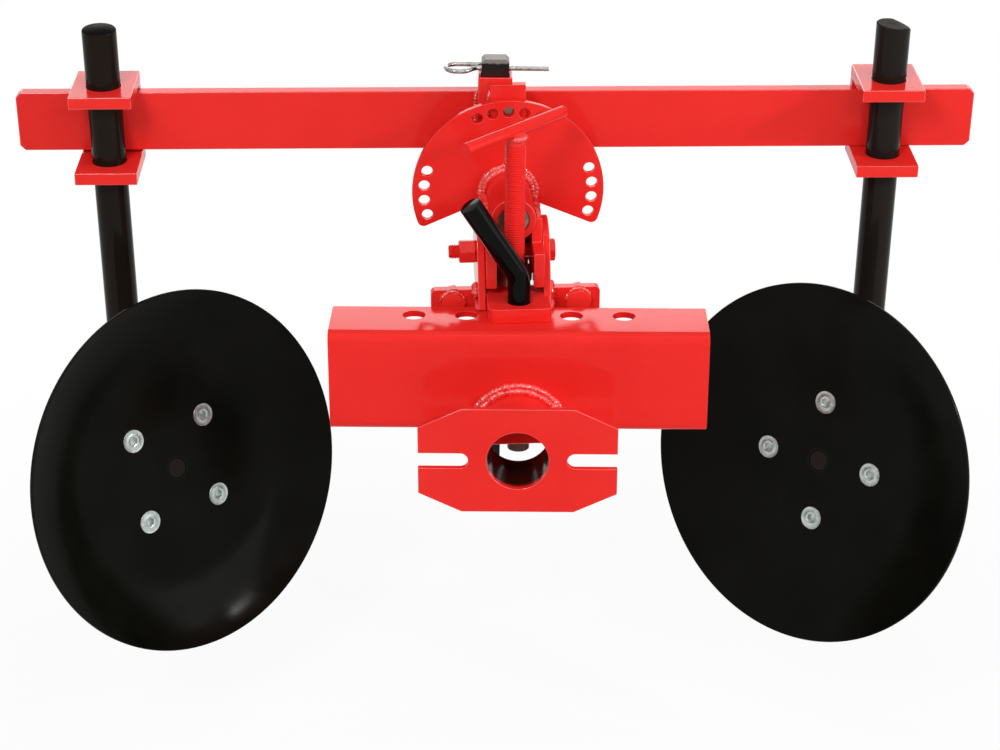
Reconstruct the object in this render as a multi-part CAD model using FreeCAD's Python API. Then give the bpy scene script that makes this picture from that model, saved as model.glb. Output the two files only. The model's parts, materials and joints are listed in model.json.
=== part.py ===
"""Disc ridger with its hitch: one STEP file for each piece, in millimetres.

The hitch's mating face is Y = 0 with its bore's centre at the origin, the tractor is
towards -Y, +X is to the right as seen from the tractor, and +Z is up.  The hitch is level.
Behind it the yoke swings about the hitch pin, the head tilts about the pivot bolt, and the
tool beam rolls in the head.  Each group is drawn straight and then set at its own angle.
"""
import FreeCAD, Part
import math
import os

V = FreeCAD.Vector
X_AXIS = V(1, 0, 0)
Y_AXIS = V(0, 1, 0)
Z_AXIS = V(0, 0, 1)
SIDE_NAMES = {-1: "left", 1: "right"}

# ---- fits ---------------------------------------------------------------------------
run_fit = 0.05          # radial, pins and shafts that turn
slide_fit = 0.3         # each side, bars in rough sockets and clamps
side_gap = 0.3          # between flat faces that slide past each other

# ---- set angles (degrees) -----------------------------------------------------------
swing_set = 5.0         # yoke turned about the hitch pin
tilt_set = 4.65         # head tipped about the pivot bolt, beam end up
skew_set = -2.95        # beam turned back on the head about the vertical
bar_lean = 1.05         # drop bar and its socket leaning on the beam's face

# ---- hitch flange, spigot tube and channel ------------------------------------------
flange_w = 185.0
flange_h = 105.0
flange_t = 6.0
flange_cut_x = 40.0
flange_cut_z = 19.0
bore_d = 57.5
slot_w = 15.0
slot_tip_x = 46.0
tube_od = 80.0
tube_id = 61.0
web_y = 65.0            # front of the channel's web
channel_len = 358.0
channel_h = 100.0
channel_depth = 68.0
channel_t = 6.0
channel_bend_r = 10.0
pin_back = 47.0         # pin line behind the web's front
pin_pitch = 50.0
pin_rows = 5
pin_d = 21.6
pin_gap = 0.1           # radial, hitch pin in the channel

# ---- yoke ---------------------------------------------------------------------------
tongue_w = 60.0
tongue_nose = 20.0      # tongue in front of the pin line
tongue_t = 14.0
lower_tongue_t = 12.0
lower_tongue_drop = 14.0
tongue_corner_r = 6.0
stop_bar_len = 164.0
stop_bar_h = 26.0
stop_bar_t = 10.0
stop_bar_corner_r = 5.0
stop_bar_top = 12.0     # above the channel's top
stop_swing = 8.0        # degrees of swing either side of straight
stop_bolt_x = 61.0
stop_bolt_d = 12.0
stop_head_af = 22.0
stop_head_t = 8.0
stop_nut_af = 19.0
stop_nut_t = 11.0
stop_bolt_tail = 6.0    # thread past the nut
cheek_t = 7.0
cheek_r = 34.0
cheek_foot = 13.0       # cheek's front foot behind the pin line
cheek_heel = 14.0       # cheek's rear foot behind the stop bar
cheek_floor = 1.0       # cheek above the channel
pin_tail = 13.0         # pin below the lower tongue
pin_bend_h = 26.0       # bend's corner above the tongue
pin_bend_r = 22.0
handle_left = 47.0
handle_up = 76.0
handle_fore = 12.0

# ---- pivot bolt and head ------------------------------------------------------------
pivot_back = 65.5       # behind the pin line
pivot_up = 41.9         # above the channel's top
pivot_d = 14.0
pivot_head_af = 21.0
pivot_head_t = 7.5
pivot_nut_t = 16.0
pivot_thread_out = 10.0
head_offset = -2.5      # head and cheeks off the pin's centre line
head_plate_t = 10.0
head_plate_out = 27.7   # outer face of a head plate off the head's centre
head_foot_h = 15.0
head_nose_h = 20.0
head_foot_back = 16.0   # head plate behind the pivot bolt, at its foot
head_waist_back = 26.0  # and at the height of its nose
head_top_in = 4.0       # plate's top in from the tube's open end
head_top_gap = 8.0      # plate's top to the sector
head_nose_out = 2.0     # plate in front of the screw's nut
head_web_t = 6.0
head_web_back = 10.0    # web's front face behind the pivot bolt's axis
head_web_low = 30.0     # web's foot below the pivot bolt's axis
roll_up = 43.2          # roll axis above the pivot bolt
roll_tube_d = 43.5
roll_shaft_d = 30.0
roll_shaft_short = 1.5  # shaft's end inside the tube's
mouth_fore = 26.0       # tube's open end in front of the pivot bolt
sector_back = 44.0      # sector's front face behind the pivot bolt
sector_t = 5.0
sector_collar_d = 55.5
sector_r = 94.0
sector_hole_r = 82.4
sector_hole_d = 11.0
sector_step = 10.8      # degrees between holes
sector_groups = ((90, 5), (0, 4), (180, 4))     # middle angle and holes of each group
sector_dip = 23.5       # degrees the sector reaches below level
sector_corner_r = 6.0
screw_d = 20.0
screw_top = 140.0       # handle's axis above the pivot bolt
screw_nut_af = 30.0
screw_nut_t = 16.0
screw_nut_up = 1.0      # nut's top above the pivot bolt
screw_foot_gap = 5.5
screw_neck = 4.0        # plain round neck under the handle
screw_neck_d = 18.0
t_bar_d = 12.0
t_bar_len = 132.0
t_bar_yaw = 42.0

# ---- tool beam, roll plate, socket and drop bar ------------------------------------------
beam_back = 81.0        # beam's front face behind the pivot bolt
beam_up = 103.4         # beam's centre above the pivot bolt
beam_offset = -10.0     # beam's middle off the roll axis
beam_len = 936.0
beam_h = 60.0
beam_t = 12.5
beam_corner = 5.0
roll_plate_w = 34.0
roll_plate_top = 47.5   # above the beam's centre
roll_plate_low = 88.0   # below the beam's centre
roll_plate_gap = 1.4    # sector to roll plate, at the roll axis
roll_shaft_in = 3.0     # shaft let into the roll plate
lock_pin_d = 10.0
lock_pin_short = 1.0    # pin's rear end in front of the socket
socket_wall = 3.0
socket_top = 51.4
socket_low = 92.0
bar_w = 26.5
bar_t = 15.0
bar_offset = -3.0       # bar off the beam's middle
bar_top = 69.0
bar_len = 490.0
bar_corner = 3.0
clip_d = 4.5
clip_up = 57.5
clip_leg = 38.5
clip_throat = 6.0       # bar's side to the clip's loop
clip_loop_len = 32.0
clip_loop_w = 20.0
clip_bend_r = 9.0

# ---- brackets and shanks ------------------------------------------------------------
shank_x = 379.0         # from the beam's middle
shank_d = 33.0
shank_wall = 4.5
shank_top = 104.5       # above the beam's centre
shank_dome = 9.0
lug_w = 60.0
lug_t = 12.0
lug_fore = 50.0         # lugs in front of the beam's face
bracket_inner = 66.0    # between the lugs
bracket_lift = {"left": 1.8, "right": 5.3}      # upper lug above its rest on the beam
clamp_plate_t = 10.0
clamp_bolt_d = 14.0
clamp_head_af = 22.0
clamp_head_t = 9.0
clamp_nut_t = 13.0
clamp_bolt_len = 38.0

# ---- discs, hubs and spindles -------------------------------------------------------
disc_r = 180.0
disc_t = 4.0
disc_dish = 22.0
disc_flat_r = 78.0
disc_curve = 1.6        # how much faster the dish rises towards the rim
disc_in = 74.1          # disc's centre inward of the shank
disc_fore = 126.4       # disc's centre in front of the shank
disc_down = {"left": 312.6, "right": 309.8}      # disc's centre below the beam's centre
disc_yaw = 43.5
disc_lift = 14.8
disc_bolt_pcd = 120.0
disc_bolt_count = 4
disc_bolt_d = 12.0
disc_bolt_head_d = 23.5
disc_bolt_head_t = 3.4
disc_bolt_turn = {"left": -3.5, "right": -37.0}
hub_flange_r = 76.0
hub_flange_t = 10.0
hub_barrel_r = 30.0
hub_barrel_len = 58.0
hub_pilot_d = 20.0
disc_nut_af = 19.0
disc_nut_t = 11.0
disc_bolt_tail = 3.0    # thread past the nut
spindle_d = 25.0
spindle_set = 4.0       # spindle's end behind the hub's flange
spindle_tip_gap = 2.0   # hub's bore in front of the spindle's end
knuckle_gap = 5.0       # hub to knuckle
knuckle_boss_r = 21.0
knuckle_boss_len = 52.0
knuckle_sleeve_r = 24.0
knuckle_sleeve_h = 70.0
knuckle_web_t = 22.0
knuckle_web_h = 29.4


# ---- worked-out places --------------------------------------------------------------
pin_y = web_y + pin_back
pivot_y = pin_y + pivot_back
pivot_z = channel_h + pivot_up
tongue_z = channel_h + side_gap
tongue_top = tongue_z + tongue_t
lower_tongue_z = -lower_tongue_drop - lower_tongue_t
channel_rear = web_y + channel_depth
# the stop bolt's head just clears the channel's rear edge at the full swing
stop_turn = math.radians(stop_swing)
stop_corner = stop_bolt_x + stop_head_af / math.sqrt(3)
stop_face = (channel_rear - pin_y + side_gap + stop_corner * math.sin(stop_turn)) / math.cos(stop_turn)
stop_bar_y = pin_y + stop_face + stop_head_t
roll_z = pivot_z + roll_up
sector_y = pivot_y + sector_back
mouth_y = pivot_y - mouth_fore
beam_y = pivot_y + beam_back
beam_z = pivot_z + beam_up
screw_y = mouth_y - side_gap - screw_d / 2
cheek_in = head_plate_out + side_gap
hub_pilot_r = hub_pilot_d / 2
socket_in_w = bar_w + 2 * slide_fit
socket_in_t = bar_t + 2 * slide_fit
socket_w = socket_in_w + 2 * socket_wall
socket_t = socket_in_t + 2 * socket_wall
socket_y = beam_y - socket_t
roll_plate_y = sector_y + sector_t + roll_plate_gap
# the roll that levels the beam after its skew on the tipped head
roll_set = math.degrees(math.asin(math.tan(math.radians(skew_set)) * math.tan(math.radians(tilt_set))))


# ---- shape helpers ------------------------------------------------------------------
def box(x0, x1, y0, y1, z0, z1):
    """A block between two corners."""
    return Part.makeBox(x1 - x0, y1 - y0, z1 - z0, V(x0, y0, z0))


def rod(diameter, start, end):
    """A round bar between two points."""
    return Part.makeCylinder(diameter / 2, (end - start).Length, start, end - start)


def bent_bar(diameter, points, bend_r):
    """A round bar along straight runs joined by rounded corners."""
    runs = []
    last = points[0]
    for before, corner, after in zip(points, points[1:], points[2:]):
        arriving = (corner - before).normalize()
        leaving = (after - corner).normalize()
        half_turn = arriving.getAngle(leaving) / 2
        setback = bend_r * math.tan(half_turn)
        inward = (leaving - arriving).normalize()
        middle = corner + inward * (bend_r / math.cos(half_turn) - bend_r)
        start = corner - arriving * setback
        end = corner + leaving * setback
        runs.append(Part.LineSegment(last, start).toShape())
        runs.append(Part.Arc(start, middle, end).toShape())
        last = end
    runs.append(Part.LineSegment(last, points[-1]).toShape())
    ring = Part.Wire([Part.Circle(points[0], points[1] - points[0], diameter / 2).toShape()])
    return Part.Wire(runs).makePipeShell([ring], True, True)


def prism(points, direction):
    """A plate whose outline is a closed run of points."""
    wire = Part.makePolygon(points + [points[0]])
    return Part.Face(wire).extrude(direction)


def hexagon(across_flats, start, end, turn=0.0):
    """A hexagon bar between two points; turn rotates it about its own axis."""
    axis = (end - start).normalize()
    side = axis.cross(Z_AXIS if abs(axis.z) < 0.9 else X_AXIS).normalize()
    up = axis.cross(side)
    radius = across_flats / math.sqrt(3)
    points = []
    for k in range(6):
        angle = math.radians(60 * k + turn)
        points.append(start + side * (radius * math.cos(angle)) + up * (radius * math.sin(angle)))
    return prism(points, end - start)


def edges_along(shape, direction, test):
    """Straight edges that run along a direction and pass a test of their middle point."""
    found = []
    for edge in shape.Edges:
        if not isinstance(edge.Curve, Part.Line):
            continue
        if abs(edge.tangentAt(edge.FirstParameter).dot(direction)) < 0.999:
            continue
        if test(edge.CenterOfMass):
            found.append(edge)
    return found


def turned(shape, centre, axis, angle):
    """A copy turned about an axis."""
    copy = shape.copy()
    copy.rotate(centre, axis, angle)
    return copy


def cut_all(shape, tools):
    """A shape with each tool taken out of it."""
    for tool in tools:
        shape = shape.cut(tool)
    return shape


def join(shapes):
    """Touching shapes made one solid."""
    whole = shapes[0]
    for shape in shapes[1:]:
        whole = whole.fuse(shape)
    return whole.removeSplitter()


# ---- set positions ------------------------------------------------------------------
def set_yoke(shape):
    """The yoke's swing about the hitch pin."""
    return turned(shape, V(0, pin_y, 0), Z_AXIS, swing_set)


def set_head(shape):
    """The head's tilt about the pivot bolt, then the yoke's swing."""
    return set_yoke(turned(shape, V(0, pivot_y, pivot_z), X_AXIS, tilt_set))


def set_beam(shape):
    """The beam's skew and roll on the head, then all that the head does."""
    middle = V(head_offset, roll_plate_y, roll_z)
    skewed = turned(shape, middle, Z_AXIS, skew_set)
    return set_head(turned(skewed, middle, Y_AXIS, roll_set))


def set_bar(shape):
    """The drop bar's lean on the beam's face, then all that the beam does."""
    middle = V(head_offset + beam_offset, beam_y, beam_z)
    return set_beam(turned(shape, middle, Y_AXIS, bar_lean))


# ---- hitch --------------------------------------------------------------------------
def hitch_flange():
    """Eight-sided plate with a bore and two slots open at its sides."""
    w = flange_w / 2
    h = flange_h / 2
    outline = [
        V(-w, 0, -h + flange_cut_z), V(-w + flange_cut_x, 0, -h),
        V(w - flange_cut_x, 0, -h), V(w, 0, -h + flange_cut_z),
        V(w, 0, h - flange_cut_z), V(w - flange_cut_x, 0, h),
        V(-w + flange_cut_x, 0, h), V(-w, 0, h - flange_cut_z),
    ]
    plate = prism(outline, V(0, flange_t, 0))
    tools = [rod(bore_d, V(0, 0, 0), V(0, flange_t, 0))]
    r = slot_w / 2
    for side in (-1, 1):
        tip = side * (slot_tip_x + r)
        tools.append(rod(slot_w, V(tip, 0, 0), V(tip, flange_t, 0)))
        tools.append(box(min(tip, side * w), max(tip, side * w), 0, flange_t, -r, r))
    return cut_all(plate, tools)


def hitch_tube():
    """Short thick tube from the flange to the channel's web."""
    outer = rod(tube_od, V(0, flange_t, 0), V(0, web_y, 0))
    return outer.cut(rod(tube_id, V(0, flange_t, 0), V(0, web_y, 0)))


def hitch_channel():
    """Bent channel, open to the rear, with a row of pin holes in both flanges."""
    x = channel_len / 2
    outer = box(-x, x, web_y, channel_rear, 0, channel_h)
    corners = edges_along(outer, X_AXIS, lambda p: p.y < web_y + 1)
    outer = outer.makeFillet(channel_bend_r, corners)
    inner = box(-x, x, web_y + channel_t, channel_rear, channel_t, channel_h - channel_t)
    corners = edges_along(inner, X_AXIS, lambda p: p.y < web_y + channel_t + 1)
    inner = inner.makeFillet(channel_bend_r - channel_t, corners)
    channel = outer.cut(inner)
    first = -(pin_rows - 1) / 2
    holes = []
    for k in range(pin_rows):
        hole_x = (first + k) * pin_pitch
        hole_d = pin_d + 2 * pin_gap
        holes.append(rod(hole_d, V(hole_x, pin_y, 0), V(hole_x, pin_y, channel_h)))
    return cut_all(channel, holes)


# ---- yoke ---------------------------------------------------------------------------
def pin_hole(z0, z1):
    """The hitch pin's hole through a tongue."""
    return rod(pin_d + 2 * run_fit, V(0, pin_y, z0), V(0, pin_y, z1))


def tongue(z0, z1):
    """A flat tongue round the hitch pin, back to the stop bar."""
    half = tongue_w / 2
    plate = box(-half, half, pin_y - tongue_nose, stop_bar_y, z0, z1)
    front = pin_y - tongue_nose + 1
    plate = plate.makeFillet(tongue_corner_r, edges_along(plate, Z_AXIS, lambda p: p.y < front))
    return plate.cut(pin_hole(z0, z1))


def upper_tongue():
    """Tongue on top of the channel, narrowed where the cheeks flank it."""
    plate = tongue(tongue_z, tongue_top)
    tools = []
    for side in (-1, 1):
        inner = head_offset + side * cheek_in
        outer = side * tongue_w
        tools.append(box(min(inner, outer), max(inner, outer), pin_y + cheek_foot,
                         stop_bar_y, tongue_z, tongue_top))
    return cut_all(plate, tools)


def lower_tongue():
    """Tongue under the channel."""
    return tongue(lower_tongue_z, lower_tongue_z + lower_tongue_t)


def yoke_back():
    """Upright behind the channel that carries the lower tongue."""
    half = tongue_w / 2
    top = channel_h + stop_bar_top - stop_bar_h
    return box(-half, half, stop_bar_y, stop_bar_y + stop_bar_t, lower_tongue_z, top)


def stop_bar():
    """Cross bar whose bolts stop the swing against the channel."""
    top = channel_h + stop_bar_top
    half = stop_bar_len / 2
    bar = box(-half, half, stop_bar_y, stop_bar_y + stop_bar_t, top - stop_bar_h, top)
    bar = bar.makeFillet(stop_bar_corner_r, edges_along(bar, Y_AXIS, lambda p: p.z > top - 1))
    z = stop_bolt_z()
    tools = []
    for side in (-1, 1):
        start = V(side * stop_bolt_x, stop_bar_y, z)
        tools.append(rod(stop_bolt_d, start, start + V(0, stop_bar_t, 0)))
    return cut_all(bar, tools)


def stop_bolt_z():
    """Height of the stop bolts, so that their heads meet the channel's top flange."""
    return channel_h + stop_bar_top - stop_bar_h / 2


def stop_bolt(side):
    """Stop bolt: head to the channel, nut behind the bar."""
    start = V(side * stop_bolt_x, stop_bar_y, stop_bolt_z())
    head = hexagon(stop_head_af, start - V(0, stop_head_t, 0), start)
    shank = rod(stop_bolt_d, start, start + V(0, stop_bar_t + stop_nut_t + stop_bolt_tail, 0))
    nut_at = start + V(0, stop_bar_t, 0)
    nut = hexagon(stop_nut_af, nut_at, nut_at + V(0, stop_nut_t, 0))
    return join([head, shank, nut])


def cheek(side):
    """Upright beside the head, rounded about the pivot bolt, stood over the stop bar."""
    inner = head_offset + side * cheek_in
    outer = inner + side * cheek_t
    x = min(inner, outer)
    floor = channel_h + cheek_floor
    foot = pin_y + cheek_foot
    rear = stop_bar_y + stop_bar_t + cheek_heel
    # the front and rear edges are tangents from the feet to the round top
    points = [V(x, foot, floor), V(x, rear, floor)]
    for start, sign in ((V(0, rear, floor), 1), (V(0, foot, floor), -1)):
        reach = V(0, pivot_y, pivot_z) - start
        gap = math.hypot(reach.y, reach.z)
        base = math.atan2(-reach.z, -reach.y)
        angle = base + sign * math.acos(cheek_r / gap)
        points.append(V(x, pivot_y + cheek_r * math.cos(angle), pivot_z + cheek_r * math.sin(angle)))
    body = prism(points, V(cheek_t, 0, 0))
    eye = rod(2 * cheek_r, V(x, pivot_y, pivot_z), V(x + cheek_t, pivot_y, pivot_z))
    body = join([body, eye])
    top = channel_h + stop_bar_top
    tools = [
        rod(pivot_d + 2 * run_fit, V(x, pivot_y, pivot_z), V(x + cheek_t, pivot_y, pivot_z)),
        box(x, x + cheek_t, stop_bar_y, stop_bar_y + stop_bar_t, 0, top),
    ]
    return cut_all(body, tools)


def hitch_pin():
    """Round pin through the tongues and the channel, bent over into a handle."""
    start = V(0, pin_y, lower_tongue_z - pin_tail)
    corner = V(0, pin_y, tongue_top + pin_bend_h)
    end = corner + V(-handle_left, -handle_fore, handle_up)
    return bent_bar(pin_d, [start, corner, end], pin_bend_r)


def pivot_bolt():
    """Bolt through the cheeks and the head: head on the right, nut on the left."""
    right = V(head_offset + cheek_in + cheek_t, pivot_y, pivot_z)
    left = V(head_offset - cheek_in - cheek_t, pivot_y, pivot_z)
    head = hexagon(pivot_head_af, right, right + V(pivot_head_t, 0, 0))
    shank = rod(pivot_d, left - V(pivot_nut_t + pivot_thread_out, 0, 0), right)
    return join([head, shank])


def pivot_nut():
    """Lock nut on the pivot bolt."""
    left = V(head_offset - cheek_in - cheek_t, pivot_y, pivot_z)
    nut = hexagon(pivot_head_af, left - V(pivot_nut_t, 0, 0), left)
    return nut.cut(rod(pivot_d, left - V(pivot_nut_t, 0, 0), left))


# ---- head ---------------------------------------------------------------------------
def roll_tube():
    """Tube that the beam's shaft turns in."""
    start = V(head_offset, mouth_y, roll_z)
    end = V(head_offset, sector_y, roll_z)
    return rod(roll_tube_d, start, end).cut(rod(roll_shaft_d + 2 * run_fit, start, end))


def head_plate(side):
    """Side plate from the pivot bolt up to the roll tube, with a nose for the screw's nut."""
    outer = head_offset + side * head_plate_out
    inner = outer - side * head_plate_t
    x = min(inner, outer)
    nose = screw_y - screw_nut_af / 2 - head_nose_out
    points = [
        V(x, nose, pivot_z - head_foot_h), V(x, pivot_y + head_foot_back, pivot_z - head_foot_h),
        V(x, pivot_y + head_waist_back, pivot_z + head_nose_h), V(x, sector_y - head_top_gap, roll_z),
        V(x, mouth_y + head_top_in, roll_z), V(x, mouth_y, pivot_z + head_nose_h),
        V(x, nose, pivot_z + head_nose_h),
    ]
    plate = prism(points, V(head_plate_t, 0, 0))
    bolt = rod(pivot_d + 2 * run_fit, V(x, pivot_y, pivot_z), V(x + head_plate_t, pivot_y, pivot_z))
    tube = rod(roll_tube_d, V(head_offset, mouth_y, roll_z), V(head_offset, sector_y, roll_z))
    return cut_all(plate, [bolt, tube])


def head_web():
    """Web between the head plates, behind the pivot bolt and under the roll tube."""
    half = head_plate_out - head_plate_t
    y0 = pivot_y + head_web_back
    web = box(head_offset - half, head_offset + half, y0, y0 + head_web_t, pivot_z - head_web_low, roll_z)
    return web.cut(rod(roll_tube_d, V(head_offset, mouth_y, roll_z), V(head_offset, sector_y, roll_z)))


def screw_nut():
    """Nut between the head plates that the depth screw turns in."""
    z1 = pivot_z + screw_nut_up
    z0 = z1 - screw_nut_t
    start = V(head_offset, screw_y, z0)
    nut = hexagon(screw_nut_af, start, V(head_offset, screw_y, z1), 30)
    return nut.cut(rod(screw_d, start, V(head_offset, screw_y, z1)))


def screw_foot_z():
    """Foot of the depth screw above the tongue, in the head's own straight pose."""
    tilt = math.radians(tilt_set)
    world = tongue_top + screw_foot_gap - pivot_z
    return pivot_z + (world - (screw_y - pivot_y) * math.sin(tilt)) / math.cos(tilt)


def depth_screw():
    """Threaded spindle with a thinner neck welded under its handle."""
    low = V(head_offset, screw_y, screw_foot_z())
    top = V(head_offset, screw_y, pivot_z + screw_top)
    neck = top - V(0, 0, t_bar_d / 2 + screw_neck)
    screw = join([rod(screw_d, low, neck), rod(screw_neck_d, neck, top)])
    return screw.cut(t_bar_rod())


def t_bar_rod():
    """The handle's round bar."""
    half = t_bar_len / 2
    yaw = math.radians(t_bar_yaw)
    reach = V(half * math.cos(yaw), half * math.sin(yaw), 0)
    centre = V(head_offset, screw_y, pivot_z + screw_top)
    return rod(t_bar_d, centre - reach, centre + reach)


def sector_plate():
    """Part-round index plate with three groups of holes, behind the roll tube."""
    centre = V(head_offset, sector_y, roll_z)
    dip = math.radians(sector_dip)

    def at(radius, angle):
        return centre + V(radius * math.cos(angle), 0, radius * math.sin(angle))

    right = at(sector_r, -dip)
    left = at(sector_r, math.pi + dip)
    outline = Part.Wire([
        Part.Arc(right, at(sector_r, math.pi / 2), left).toShape(),
        Part.LineSegment(left, centre).toShape(),
        Part.LineSegment(centre, right).toShape(),
    ])
    plate = Part.Face(outline).extrude(V(0, sector_t, 0))
    corner_z = centre.z - sector_r * math.sin(dip)
    corners = edges_along(plate, Y_AXIS, lambda p: abs(p.z - corner_z) < 1)
    plate = plate.makeFillet(sector_corner_r, corners)
    collar = rod(sector_collar_d, centre, centre + V(0, sector_t, 0))
    plate = join([plate, collar])
    tools = [rod(roll_shaft_d + 2 * run_fit, centre, centre + V(0, sector_t, 0))]
    for middle, count in sector_groups:
        for k in range(count):
            angle = math.radians(middle + (k - (count - 1) / 2) * sector_step)
            hole = at(sector_hole_r, angle)
            tools.append(rod(sector_hole_d, hole, hole + V(0, sector_t, 0)))
    return cut_all(plate, tools)


# ---- tool beam ----------------------------------------------------------------------
def roll_shaft():
    """Shaft from the tube's open end into the roll plate; it lines up with the head."""
    start = V(head_offset, mouth_y + roll_shaft_short, roll_z)
    return set_head(rod(roll_shaft_d, start, V(head_offset, roll_plate_y + roll_shaft_in, roll_z)))


def roll_plate():
    """Upright plate between the sector and the socket, on the shaft's end."""
    half = roll_plate_w / 2
    plate = box(head_offset - half, head_offset + half, roll_plate_y, socket_y,
                beam_z - roll_plate_low, beam_z + roll_plate_top)
    return cut_all(set_beam(plate), [roll_shaft(), lock_pin()])


def lock_pin():
    """Lock pin in the roll plate, drawn back so that its tip just clears the sector."""
    tip = V(head_offset, sector_y + sector_t + side_gap, roll_z + sector_hole_r)
    return set_head(rod(lock_pin_d, tip, V(tip.x, socket_y - lock_pin_short, tip.z)))


def tool_beam():
    """Flat bar that carries both brackets."""
    middle = head_offset + beam_offset
    half = beam_len / 2
    bar = box(middle - half, middle + half, beam_y, beam_y + beam_t,
              beam_z - beam_h / 2, beam_z + beam_h / 2)
    ends = edges_along(bar, Y_AXIS, lambda p: True)
    return bar.makeChamfer(beam_corner, ends)


def bar_socket():
    """Rectangular tube on the beam's front face that the drop bar slides in."""
    x = head_offset + beam_offset + bar_offset
    z0 = beam_z - socket_low
    z1 = beam_z + socket_top
    outer = box(x - socket_w / 2, x + socket_w / 2, socket_y, beam_y, z0, z1)
    y0 = socket_y + socket_wall
    inner = box(x - socket_in_w / 2, x + socket_in_w / 2, y0, y0 + socket_in_t, z0, z1)
    return set_bar(outer.cut(inner))


# ---- drop bar ----------------------------------------------------------------------------
def bar_centre_y():
    """Middle of the drop bar's thickness."""
    return socket_y + socket_t / 2


def drop_bar():
    """Flat upright bar in the socket, pinned by a clip above it."""
    x = head_offset + beam_offset + bar_offset
    y = bar_centre_y()
    top = beam_z + bar_top
    bar = box(x - bar_w / 2, x + bar_w / 2, y - bar_t / 2, y + bar_t / 2, top - bar_len, top)
    bar = bar.makeChamfer(bar_corner, edges_along(bar, Y_AXIS, lambda p: True))
    z = beam_z + clip_up
    return set_bar(bar.cut(rod(clip_d, V(x - bar_w, y, z), V(x + bar_w, y, z))))


def bar_clip():
    """Spring clip: a straight leg through the drop bar, a loop and a leg behind the bar."""
    x = head_offset + beam_offset + bar_offset
    y = bar_centre_y()
    z = beam_z + clip_up
    side = bar_w / 2
    back = bar_t / 2 + slide_fit + clip_d / 2
    loop_in = side + clip_throat
    loop_out = loop_in + clip_loop_len
    half = clip_loop_w / 2
    route = [
        (side + clip_leg, 0), (-loop_in, 0), (-loop_in - half, -half), (-loop_out + half, -half),
        (-loop_out, 0), (-loop_out + half, half), (-loop_in - half, half),
        (-loop_in, 2 * clip_d), (-side, back), (side, back),
    ]
    points = [V(x + across, y + rearward, z) for across, rearward in route]
    return set_bar(bent_bar(clip_d, points, clip_bend_r))


# ---- brackets -----------------------------------------------------------------------
def shank_centre(side):
    """Where a shank's axis meets the beam's mid height."""
    x = head_offset + beam_offset + side * shank_x
    return V(x, beam_y - side_gap - shank_d / 2, beam_z)


def lug(side, upper):
    """One of the two flat lugs that hold a shank against the beam."""
    at = shank_centre(side)
    z0 = bracket_top(side) if upper else bracket_top(side) - bracket_inner - lug_t
    z1 = z0 + lug_t
    rear = beam_y + beam_t + slide_fit + clamp_plate_t
    plate = box(at.x - lug_w / 2, at.x + lug_w / 2, beam_y - lug_fore, rear, z0, z1)
    return plate.cut(rod(shank_d + 2 * run_fit, V(at.x, at.y, z0), V(at.x, at.y, z1)))


def bracket_top(side):
    """Underside of a bracket's upper lug."""
    return beam_z + beam_h / 2 + slide_fit + bracket_lift[SIDE_NAMES[side]]


def clamp_bolt_z(side):
    """Height of a bracket's clamp bolt."""
    return bracket_top(side) - bracket_inner / 2


def clamp_plate(side):
    """Upright between the lugs, behind the beam, threaded for the clamp bolt."""
    at = shank_centre(side)
    y0 = beam_y + beam_t + slide_fit
    z1 = bracket_top(side)
    plate = box(at.x - lug_w / 2, at.x + lug_w / 2, y0, y0 + clamp_plate_t, z1 - bracket_inner, z1)
    z = clamp_bolt_z(side)
    return plate.cut(rod(clamp_bolt_d, V(at.x, y0, z), V(at.x, y0 + clamp_plate_t, z)))


def clamp_bolt(side):
    """Bolt that presses on the back of the beam, with its lock nut."""
    at = shank_centre(side)
    z = clamp_bolt_z(side)
    y0 = beam_y + beam_t
    plate_rear = y0 + slide_fit + clamp_plate_t
    shank = rod(clamp_bolt_d, V(at.x, y0, z), V(at.x, y0 + clamp_bolt_len, z))
    nut = hexagon(clamp_head_af, V(at.x, plate_rear, z), V(at.x, plate_rear + clamp_nut_t, z))
    head_y = y0 + clamp_bolt_len
    head = hexagon(clamp_head_af, V(at.x, head_y, z), V(at.x, head_y + clamp_head_t, z))
    return join([shank, nut, head])


# ---- shanks, knuckles and spindles --------------------------------------------------
def disc_axis(side):
    """Unit vector out of the disc's hollow face, inward, forward and up."""
    yaw = math.radians(disc_yaw)
    lift = math.radians(disc_lift)
    flat = math.cos(lift)
    return V(-side * math.sin(yaw) * flat, -math.cos(yaw) * flat, math.sin(lift))


def disc_centre(side):
    """Centre of a disc's rim."""
    return shank_centre(side) + V(-side * disc_in, -disc_fore, -disc_down[SIDE_NAMES[side]])


def behind(side, distance):
    """A point on the disc's axis behind the rim's plane."""
    return disc_centre(side) - disc_axis(side) * distance


def nearest_behind(side):
    """How far behind the rim the disc's axis passes closest to the shank."""
    axis = disc_axis(side)
    reach = disc_centre(side) - shank_centre(side)
    return (reach.x * axis.x + reach.y * axis.y) / (axis.x ** 2 + axis.y ** 2)


hub_front = disc_dish + disc_t
hub_rear = hub_front + hub_barrel_len
boss_front = hub_rear + knuckle_gap


def shank_bottom(side):
    """Lower end of a shank, at the foot of its knuckle."""
    return behind(side, nearest_behind(side)).z - knuckle_sleeve_h / 2


def shank(side):
    """Round tube, held in the bracket, with a domed cap."""
    at = shank_centre(side)
    low = V(at.x, at.y, shank_bottom(side))
    shoulder = V(at.x, at.y, beam_z + shank_top - shank_dome)
    body = rod(shank_d, low, V(at.x, at.y, beam_z + shank_top))
    crown = edges_of_circle(body, beam_z + shank_top)
    body = body.makeFillet(shank_dome, crown)
    return body.cut(rod(shank_d - 2 * shank_wall, low, shoulder))


def edges_of_circle(shape, z):
    """Round edges lying at one height."""
    return [e for e in shape.Edges if isinstance(e.Curve, Part.Circle) and abs(e.CenterOfMass.z - z) < 0.01]


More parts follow.
